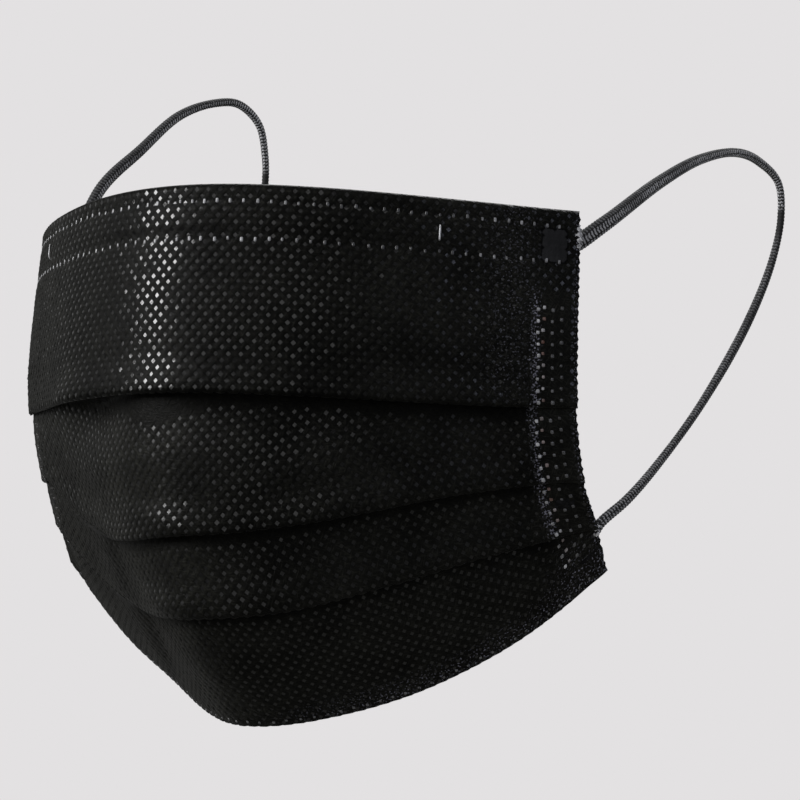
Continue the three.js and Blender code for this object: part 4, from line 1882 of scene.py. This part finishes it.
    def _specks(self, material: Material,
                place: Socket) -> Socket:
        """Scatter pale specks over strained cloth: partly strain, partly painted glints.

        Args:
            material: What holds the node tree.
            place: Socket of the place on the cloth's map.

        Returns:
            A socket that is 1 on the specks and 0 beside them.
        """
        whitened_and_sheen = add_node(material, "Attribute", {"attribute_name": "whitened_and_sheen"}).outputs["Fac"]
        specks = add_node(material, "TexNoise", inputs={
            "Vector": place, "Scale": PressedCloth.map_mm / self.speck_mm, "Detail": 2.0})
        gain = add_node(material, "Math", {"operation": "MULTIPLY"}, {
            0: whitened_and_sheen, 1: self.speck_gain}).outputs[0]
        spread = add_node(material, "Math", {"operation": "ADD"}, {
            0: specks.outputs[0], 1: gain}).outputs[0]
        strained, speckled = (
            add_node(material, "MapRange", inputs={
                0: factor, 1: low, 2: high, 3: 0.0, 4: 1.0}).outputs[0]
            for factor, low, high in ((whitened_and_sheen, 0.02, 0.2), (spread, 0.61, 0.7)))
        return add_node(material, "Math", {"operation": "MULTIPLY"}, {
            0: strained, 1: speckled}).outputs[0]


@dataclass(frozen=True)
class BondPoint:
    """Filaments pressed to a clear film at a dot: it shines, its rim paler as a painted highlight.
    """

    name: str = "pressed_bond_points"
    # a little paler at the rim than at the centre: a painted highlight round the pit's edge
    rim: str = "0c0c0d"
    centre: str = "080809"
    dull: str = "6a6a6a"  # tint where the film is less clear
    cloud_mm: float = 2.2  # size of the clear and dull patches
    rough: float = 0.18
    spread: tuple[float, float] = (-0.04, 0.1)  # of the roughness, from clear to dull
    soft: float = 0.16  # more roughness where a dot is pressed lightly
    specular: float = 0.38

    def build(self) -> Material:
        """Make the material.

        Returns:
            The material.
        """
        material, shader = start_material(self.name)
        bond = add_node(material, "Attribute", {"attribute_name": "bond"}).outputs["Fac"]
        place = add_node(material, "UVMap", {"uv_map": "cloth_map"}).outputs[0]
        varied = add_node(material, "TexNoise", inputs={
            "Vector": place, "Scale": PressedCloth.map_mm / self.cloud_mm,
            "Detail": 2.0}).outputs[0]
        base = shaded(material, bond, 0.5, 1.0, self.rim, self.centre)
        base = tinted(material, base, shaded(material, varied, 0.35, 0.65, self.dull, "ffffff"))
        normal = crinkled(material, place)
        crisp = add_node(material, "Attribute", {"attribute_name": "crisp"}).outputs["Fac"]
        clear, dull = (self.rough + change for change in self.spread)
        patchy, soft = (
            add_node(material, "MapRange", inputs={
                0: factor, 1: low, 2: high, 3: to_low, 4: to_high}).outputs[0]
            for factor, low, high, to_low, to_high in (
                (varied, 0.3, 0.7, clear, dull), (crisp, 0.0, 1.0, self.soft, 0.0)))
        rough = add_node(material, "Math", {"operation": "ADD"}, {0: patchy, 1: soft})
        set_inputs(material, shader, {
            "Base Color": base, "Normal": normal, "Roughness": rough.outputs[0],
            "Specular IOR Level": self.specular})
        return material


@dataclass(frozen=True)
class CutEdge:
    """The welded cut edge: dark plies with the pale filter between them."""

    name: str = "cut_three_ply_edge"
    ply: str = "17171a"
    filter_ply: str = "5d5d60"
    grain: float = 900.0  # grains in a metre, so each is about 1.1 mm
    ragged: float = 0.3  # how unevenly the filter shows
    rough: float = 0.6

    def build(self) -> Material:
        """Make the material.

        Returns:
            The material.
        """
        material, shader = start_material(self.name)
        ply = add_node(material, "Attribute", {"attribute_name": "ply"}).outputs["Fac"]
        place = add_node(material, "TexCoord").outputs["Object"]
        noise = add_node(material, "TexNoise", inputs={
            "Vector": place, "Scale": self.grain, "Detail": 2.0}).outputs[0]
        past_middle = add_node(material, "Math", {"operation": "SUBTRACT"}, {0: ply, 1: 0.5})
        from_middle = add_node(material, "Math", {"operation": "ABSOLUTE"}, {
            0: past_middle.outputs[0]})
        uneven = add_node(material, "Math", {"operation": "MULTIPLY"}, {
            0: noise, 1: self.ragged})
        depth = add_node(material, "Math", {"operation": "ADD"}, {
            0: from_middle.outputs[0], 1: uneven.outputs[0]})
        base = shaded(material, depth.outputs[0], 0.2, 0.36, self.filter_ply, self.ply)
        bump = add_node(material, "Bump", inputs={
            "Strength": 0.8, "Distance": 0.0002, "Height": noise})
        set_inputs(material, shader, {
            "Base Color": base, "Normal": bump.outputs[0], "Roughness": self.rough})
        return material


@dataclass(frozen=True)
class MeltedFilm:
    """Polypropylene melted by a welding horn: glossy, pale in part as a painted glint, rusty on
    some.
    """

    name: str
    dark: str
    light: str
    rough: float
    spread: float = 0.15  # how much rougher the dullest places are
    warm: str = "7a4f3e"
    grain: float = 1100.0  # ripples in a metre, so each is about 0.9 mm

    def build(self) -> Material:
        """Make the material.

        Returns:
            The material.
        """
        material, shader = start_material(self.name)
        place = add_node(material, "TexCoord").outputs["Object"]
        noise = add_node(material, "TexNoise", inputs={
            "Vector": place, "Scale": self.grain, "Detail": 2.0}).outputs[0]
        pale = add_node(material, "Attribute", {"attribute_name": "pale"}).outputs["Fac"]
        warm = add_node(material, "Attribute", {"attribute_name": "warm"}).outputs["Fac"]
        light = add_node(material, "Mix", {"data_type": "RGBA"}, {
            0: warm, 6: linear(self.light), 7: linear(self.warm)}).outputs[2]
        patchy = add_node(material, "MapRange", inputs={
            0: noise, 1: 0.3, 2: 0.65, 3: 0.4, 4: 1.0}).outputs[0]
        share = add_node(material, "Math", {"operation": "MULTIPLY"}, {0: pale, 1: patchy})
        base = add_node(material, "Mix", {"data_type": "RGBA"}, {
            0: share.outputs[0], 6: linear(self.dark), 7: light}).outputs[2]
        rough = add_node(material, "MapRange", inputs={
            0: noise, 1: 0.3, 2: 0.7, 3: self.rough, 4: self.rough + self.spread})
        bump = add_node(material, "Bump", inputs={
            "Strength": 0.5, "Distance": 0.0001, "Height": noise})
        set_inputs(material, shader, {
            "Base Color": base, "Roughness": rough.outputs[0], "Normal": bump.outputs[0]})
        return material


@dataclass(frozen=True)
class KnittedElastic:
    """Polyester-spandex knit: matte yarn, crests painted pale as highlights, dark between stitches.
    """

    name: str = "knitted_elastic"
    valley: str = "050507"
    dim_crest: str = "050506"
    # the crests' pale colour is a painted highlight, stronger than the knit's relief alone gives
    crest: str = "dcdce0"
    flecks: float = 2200.0  # in a metre, so each is about 0.45 mm: a yarn's loose fibres
    fleck_gain: float = 1.6  # how strongly flecks break up the crests
    patches: float = 90.0  # in a metre: the yarn pales and darkens over about 11 mm
    rough: float = 0.85
    sheen: float = 0.1
    sheen_rough: float = 0.5

    def build(self) -> Material:
        """Make the material.

        Returns:
            The material.
        """
        material, shader = start_material(self.name)
        crest = add_node(material, "Attribute", {"attribute_name": "crest"}).outputs["Fac"]
        tone = add_node(material, "Attribute", {"attribute_name": "tone"}).outputs["Fac"]
        place = add_node(material, "TexCoord").outputs["Object"]
        fleck, patches = (
            add_node(material, "TexNoise", inputs={
                "Vector": place, "Scale": scale, "Detail": detail}).outputs[0]
            for scale, detail in ((self.flecks, 1.0), (self.patches, 2.0)))
        flecked = add_node(material, "Math", {"operation": "MULTIPLY"}, {
            0: fleck, 1: self.fleck_gain}).outputs[0]
        height = add_node(material, "Math", {"operation": "ADD"}, {
            0: crest, 1: flecked}).outputs[0]
        yarn = shaded(material, tone, 0.0, 1.0, self.dim_crest, self.crest)
        raised, patchy = (
            add_node(material, "MapRange", inputs={
                0: factor, 1: low, 2: high, 3: to_low, 4: 1.0}).outputs[0]
            for factor, low, high, to_low in (
                (height, 1.15, 1.55, 0.0), (patches, 0.3, 0.7, 0.4)))
        share = add_node(material, "Math", {"operation": "MULTIPLY"}, {0: raised, 1: patchy})
        base = add_node(material, "Mix", {"data_type": "RGBA"}, {
            0: share.outputs[0], 6: linear(self.valley), 7: yarn}).outputs[2]
        bump = add_node(material, "Bump", inputs={
            "Strength": 0.7, "Distance": 0.00012, "Height": fleck})
        set_inputs(material, shader, {
            "Base Color": base, "Normal": bump.outputs[0], "Roughness": self.rough,
            "Sheen Weight": self.sheen, "Sheen Roughness": self.sheen_rough})
        return material


@dataclass(frozen=True)
class FilterPly:
    """Meltblown filter ply: matte white micro-fibre."""

    name: str = "meltblown_filter"
    colour: str = "dedee0"
    shade: str = "6f6f74"  # between the tufts
    tufts: float = 1800.0  # in a metre, so each is about 0.55 mm
    rough: float = 0.9

    def build(self) -> Material:
        """Make the material.

        Returns:
            The material.
        """
        material, shader = start_material(self.name)
        place = add_node(material, "TexCoord").outputs["Object"]
        noise = add_node(material, "TexNoise", inputs={
            "Vector": place, "Scale": self.tufts, "Detail": 3.0}).outputs[0]
        base = shaded(material, noise, 0.3, 0.7, self.shade, self.colour)
        bump = add_node(material, "Bump", inputs={
            "Strength": 1.0, "Distance": 0.0002, "Height": noise})
        set_inputs(material, shader, {
            "Base Color": base, "Normal": bump.outputs[0], "Roughness": self.rough})
        return material


@dataclass(frozen=True)
class RolledAluminium:
    """Soft aluminium strip, with fine lines along it from the rolls."""

    name: str = "rolled_aluminium"
    colour: str = "c3c5c7"
    line: str = "a8abae"
    lines: tuple[float, float, float] = (120.0, 120.0, 6000.0)  # in a metre, along each axis
    rough: tuple[float, float] = (0.3, 0.48)

    def build(self) -> Material:
        """Make the material.

        Returns:
            The material.
        """
        material, shader = start_material(self.name)
        place = add_node(material, "TexCoord").outputs["Object"]
        stretched = add_node(material, "Mapping", inputs={"Vector": place, "Scale": self.lines})
        lines = add_node(material, "TexNoise", inputs={
            "Vector": stretched.outputs[0], "Scale": 1.0, "Detail": 2.0}).outputs[0]
        rough = add_node(material, "MapRange", inputs={
            0: lines, 1: 0.3, 2: 0.7, 3: self.rough[0], 4: self.rough[1]})
        set_inputs(material, shader, {
            "Roughness": rough.outputs[0],
            "Base Color": shaded(material, lines, 0.3, 0.7, self.line, self.colour),
            "Metallic": 1.0})
        return material


# ---- Stage ----


@dataclass(frozen=True)
class SoftLight:
    """A rectangular soft light that points at the mask. Angles in degrees, sizes in metres."""

    name: str
    azimuth: float
    elevation: float
    distance: float
    width: float
    height: float
    watts: float
    colour: str = "ffffff"

    def build(self, aim: Vector) -> None:
        """Place the light. Azimuth 0 is in front of the mask, and 90 is at its +X side.

        Args:
            aim: The point that it faces.
        """
        turn, rise = math.radians(self.azimuth), math.radians(self.elevation)
        towards = Vector((math.sin(turn) * math.cos(rise), -math.cos(turn) * math.cos(rise),
                          math.sin(rise)))
        data = bpy.data.lights.new(self.name, "AREA")
        data.shape, data.size, data.size_y = "RECTANGLE", self.width, self.height
        data.energy, data.color = self.watts, linear(self.colour)[:3]
        lamp = bpy.data.objects.new(self.name, data)
        lamp.location = aim + towards * self.distance
        lamp.rotation_euler = (-towards).to_track_quat("-Z", "Y").to_euler()
        bpy.context.scene.collection.objects.link(lamp)


@dataclass(frozen=True)
class Studio:
    """Pale floor and dome, soft lights, and the camera."""

    grey: str = "e3e1e2"
    world: str = "646462"
    eye: tuple[float, float, float] = (0.3399, -0.4986, -0.0539)
    aim: tuple[float, float, float] = (0.0415, 0.0163, -0.0376)
    lens: float = 128.8  # mm, on the sensor that follows
    sensor: float = 36.0
    clip: tuple[float, float] = (0.01, 20.0)  # metres
    dome: float = 4.0
    floor_drop: float = 1.2

    def build(self, low: Vector) -> None:
        """Make the stage round the mask, whose lowest corner is given.

        Args:
            low: The lowest corner of the mask's box.
        """
        scene = bpy.context.scene
        scene.view_settings.view_transform = "Standard"
        data = bpy.data.cameras.new("camera")
        data.lens, data.sensor_width = self.lens, self.sensor
        data.clip_start, data.clip_end = self.clip
        camera = bpy.data.objects.new("camera", data)
        camera.location = self.eye
        towards = Vector(self.aim) - Vector(self.eye)
        camera.rotation_euler = towards.to_track_quat("-Z", "Y").to_euler()
        scene.collection.objects.link(camera)
        scene.camera = camera

        world = bpy.data.worlds.new("dim_room")
        world.use_nodes = True
        world.node_tree.nodes["Background"].inputs[0].default_value = linear(self.world)
        scene.world = world

        paper = bpy.data.materials.new("pale_backdrop")
        paper.use_nodes = True
        paper.node_tree.nodes.clear()
        glow = add_node(paper, "Emission", inputs={"Color": linear(self.grey), "Strength": 1.0})
        add_node(paper, "OutputMaterial", inputs={"Surface": glow.outputs[0]})
        bpy.ops.mesh.primitive_uv_sphere_add(radius=self.dome, segments=48, ring_count=24)
        dome = bpy.context.active_object
        dome.name = "dome"
        bpy.ops.mesh.primitive_plane_add(size=2 * self.dome,
                                         location=(0, 0, low.z - self.floor_drop))
        floor = bpy.context.active_object
        floor.name = "floor"
        for piece in (dome, floor):
            piece.data.materials.append(paper)
            piece.visible_diffuse = piece.visible_glossy = piece.visible_shadow = False
            piece.visible_transmission = piece.visible_volume_scatter = False
            piece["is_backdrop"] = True

        aim = Vector(self.aim)
        for light in LIGHTS:
            light.build(aim)


LIGHTS = (
    SoftLight("key_strip", -49, 27, 1.1, 0.32, 0.78, 16),
    SoftLight("front_panel", 2, 13, 1.2, 1.3, 0.4, 2.0),
    SoftLight("left_fill", -96, 14, 1.2, 0.8, 1.0, 1.0),
    SoftLight("top_fill", -12, 46, 1.2, 1.3, 0.45, 1.2),
    SoftLight("right_top", 48, 62, 1.2, 0.9, 0.9, 2.2),
    SoftLight("front_low", 10, -15, 1.1, 0.5, 0.4, 0.6),
    SoftLight("side_sheen", 73, 16, 1.1, 0.22, 0.6, 1.5, "dfe6ff"),
    SoftLight("floor_bounce", 40, -64, 1.3, 2.2, 2.2, 2.9, "fffdf4"),
    SoftLight("back_fill", 190, 28, 1.4, 1.2, 0.8, 20),
)


# ---- The mask ----


@dataclass(init=False)
class Mask:
    """The whole mask: its cloth, weld marks, cords and wire."""

    hem_pale: float = 0.5  # paleness of the top hem's weld marks, partly a painted glint
    hem_least: float = 0.15  # share of it that is left where the lines are painted darker
    bottom_pale: float = 0.25
    # Half the size of each kind of mark, along s and along t, in mm.
    hem_mark: Numbers = (0.34, 0.5)
    bottom_mark: Numbers = (0.34, 0.34)
    side_mark: Numbers = (0.42, 0.42)
    crease: Numbers = (0.26, 1.9)
    crease_drop: float = 0.7  # mm from the wire's middle down to the crease's
    # Each fray: its name, its start and end in t, and whether those are from the bottom edge.
    frays: tuple[tuple[str, float, float, bool], ...] = (
        ("filter_fray_top", 3.2, 8.8, False), ("filter_fray_bottom", -11.2, -8.8, True),
    )

    def __init__(self, frame: dict[str, Any]) -> None:
        """Set out the cloth and the finishes.

        Args:
            frame: What the frame holds, as it was loaded.
        """
        self.frame = frame
        self.sheet = CurvedSheet()
        self.cloth = FoldedCloth(self.sheet)
        # the outer ply's near-black dot colour is a painted shadow down each pit's walls
        self.outer = Spunbond("spunbond_outer_ply", "171715", "2e2e2a", "0b0b0b").build()
        self.inner = Spunbond("spunbond_inner_ply", "161617", "2c2c2d", "242426",
                              has_dots_in_mesh=False).build()
        self.bond = BondPoint().build()
        self.edge = CutEdge().build()
        self.film = MeltedFilm("melted_film", "1a1a1b", "c0c0c4", 0.2).build()
        self.melted_cord = MeltedFilm("melted_elastic", "1c1c1f", "2c2c30", 0.45).build()
        self.elastic = KnittedElastic().build()
        self.filter_ply = FilterPly().build()
        self.metal = RolledAluminium().build()

    def build(self) -> None:
        """Make every piece and tie it to the frame."""
        self._cords()
        self._cloth()
        self._welds()
        self._frays()
        wire = self.frame["nodes"]["nose_wire"]
        wire.data.materials.clear()
        wire.data.materials.append(self.metal)

    def _cloth(self) -> None:
        """The pleated cloth with both hems, as one folded sheet."""
        piece = PressedCloth(self.cloth).build()
        for material in (self.outer, self.inner, self.edge, self.bond):
            piece.data.materials.append(material)
        ride(piece, Slot.OUTER_CLOTH, "mask_body", "top_hem", "bottom_hem")

    def _welds(self) -> None:
        """The dotted weld lines of the hems, and the weld points of the side bands."""
        marks = WeldMarks(self.cloth)
        upper, lower = FoldedCloth.weld_lines
        bottom = self.cloth.bottom - FoldedCloth.bottom_weld
        rows = {
            "hem_welds_upper": (marks.line(upper, self.hem_pale, self.hem_least), self.hem_mark),
            "hem_welds_lower": (marks.line(lower, self.hem_pale, self.hem_least), self.hem_mark),
            "hem_welds_bottom": (marks.line(bottom, self.bottom_pale), self.bottom_mark),
        }
        for side in Side:
            rows[f"side_welds_{side.name.lower()}"] = (marks.band(side), self.side_mark)
        crease = sum(FoldedCloth.wire) / 2 + self.crease_drop
        rows["wire_end_creases"] = (
            [(side.value * FoldedCloth.wire_end, crease, 1.0, 0.0) for side in Side], self.crease)
        for name, (places, half_size) in rows.items():
            piece = marks.build(name, places, *half_size)
            piece.data.materials.append(self.film)
            ride(piece, Slot.OUTER_CLOTH)

    def _cords(self) -> None:
        """The ear cords and their welded ends."""
        for loop in EAR_LOOPS:
            for corner in (TOP_CORNER, BOTTOM_CORNER):
                weld = CordWeld(self.sheet, loop.side, corner).build()
                weld.data.materials.append(self.melted_cord)
                ride(weld, Slot.ELASTIC, f"loop_end_{corner.word}_{loop.word}")
            cord = KnitCord(self.sheet, loop)
            piece = cord.build()
            piece.data.materials.append(self.elastic)
            ride(piece, Slot.ELASTIC, f"ear_loop_{loop.word}")
            log.info("%s is %.1f mm long", piece.name, cord.length())
            path = cord.line * MM
            tuple(path[0])
            cord.length() * MM

    def _frays(self) -> None:
        """The pale filter ply at the cut edge beside each cord."""
        for name, t_from, t_to, from_bottom in self.frays:
            zero = self.cloth.bottom if from_bottom else 0.0
            piece = FilterFray(self.cloth, Side.RIGHT, zero + t_from, zero + t_to, name).build()
            piece.data.materials.append(self.filter_ply)
            ride(piece, Slot.INNER_CLOTH)


def main() -> None:
    """Build the mask's looks around the frame."""
    logging.basicConfig(level=logging.INFO, format="%(message)s")
    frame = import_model()
    cad_box = [list(corner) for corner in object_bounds()]
    bpy.ops.object.select_all(action="DESELECT")
    Studio().build(Vector(cad_box[0]))
    Mask(frame).build()


if __name__ == "__main__":
    main()
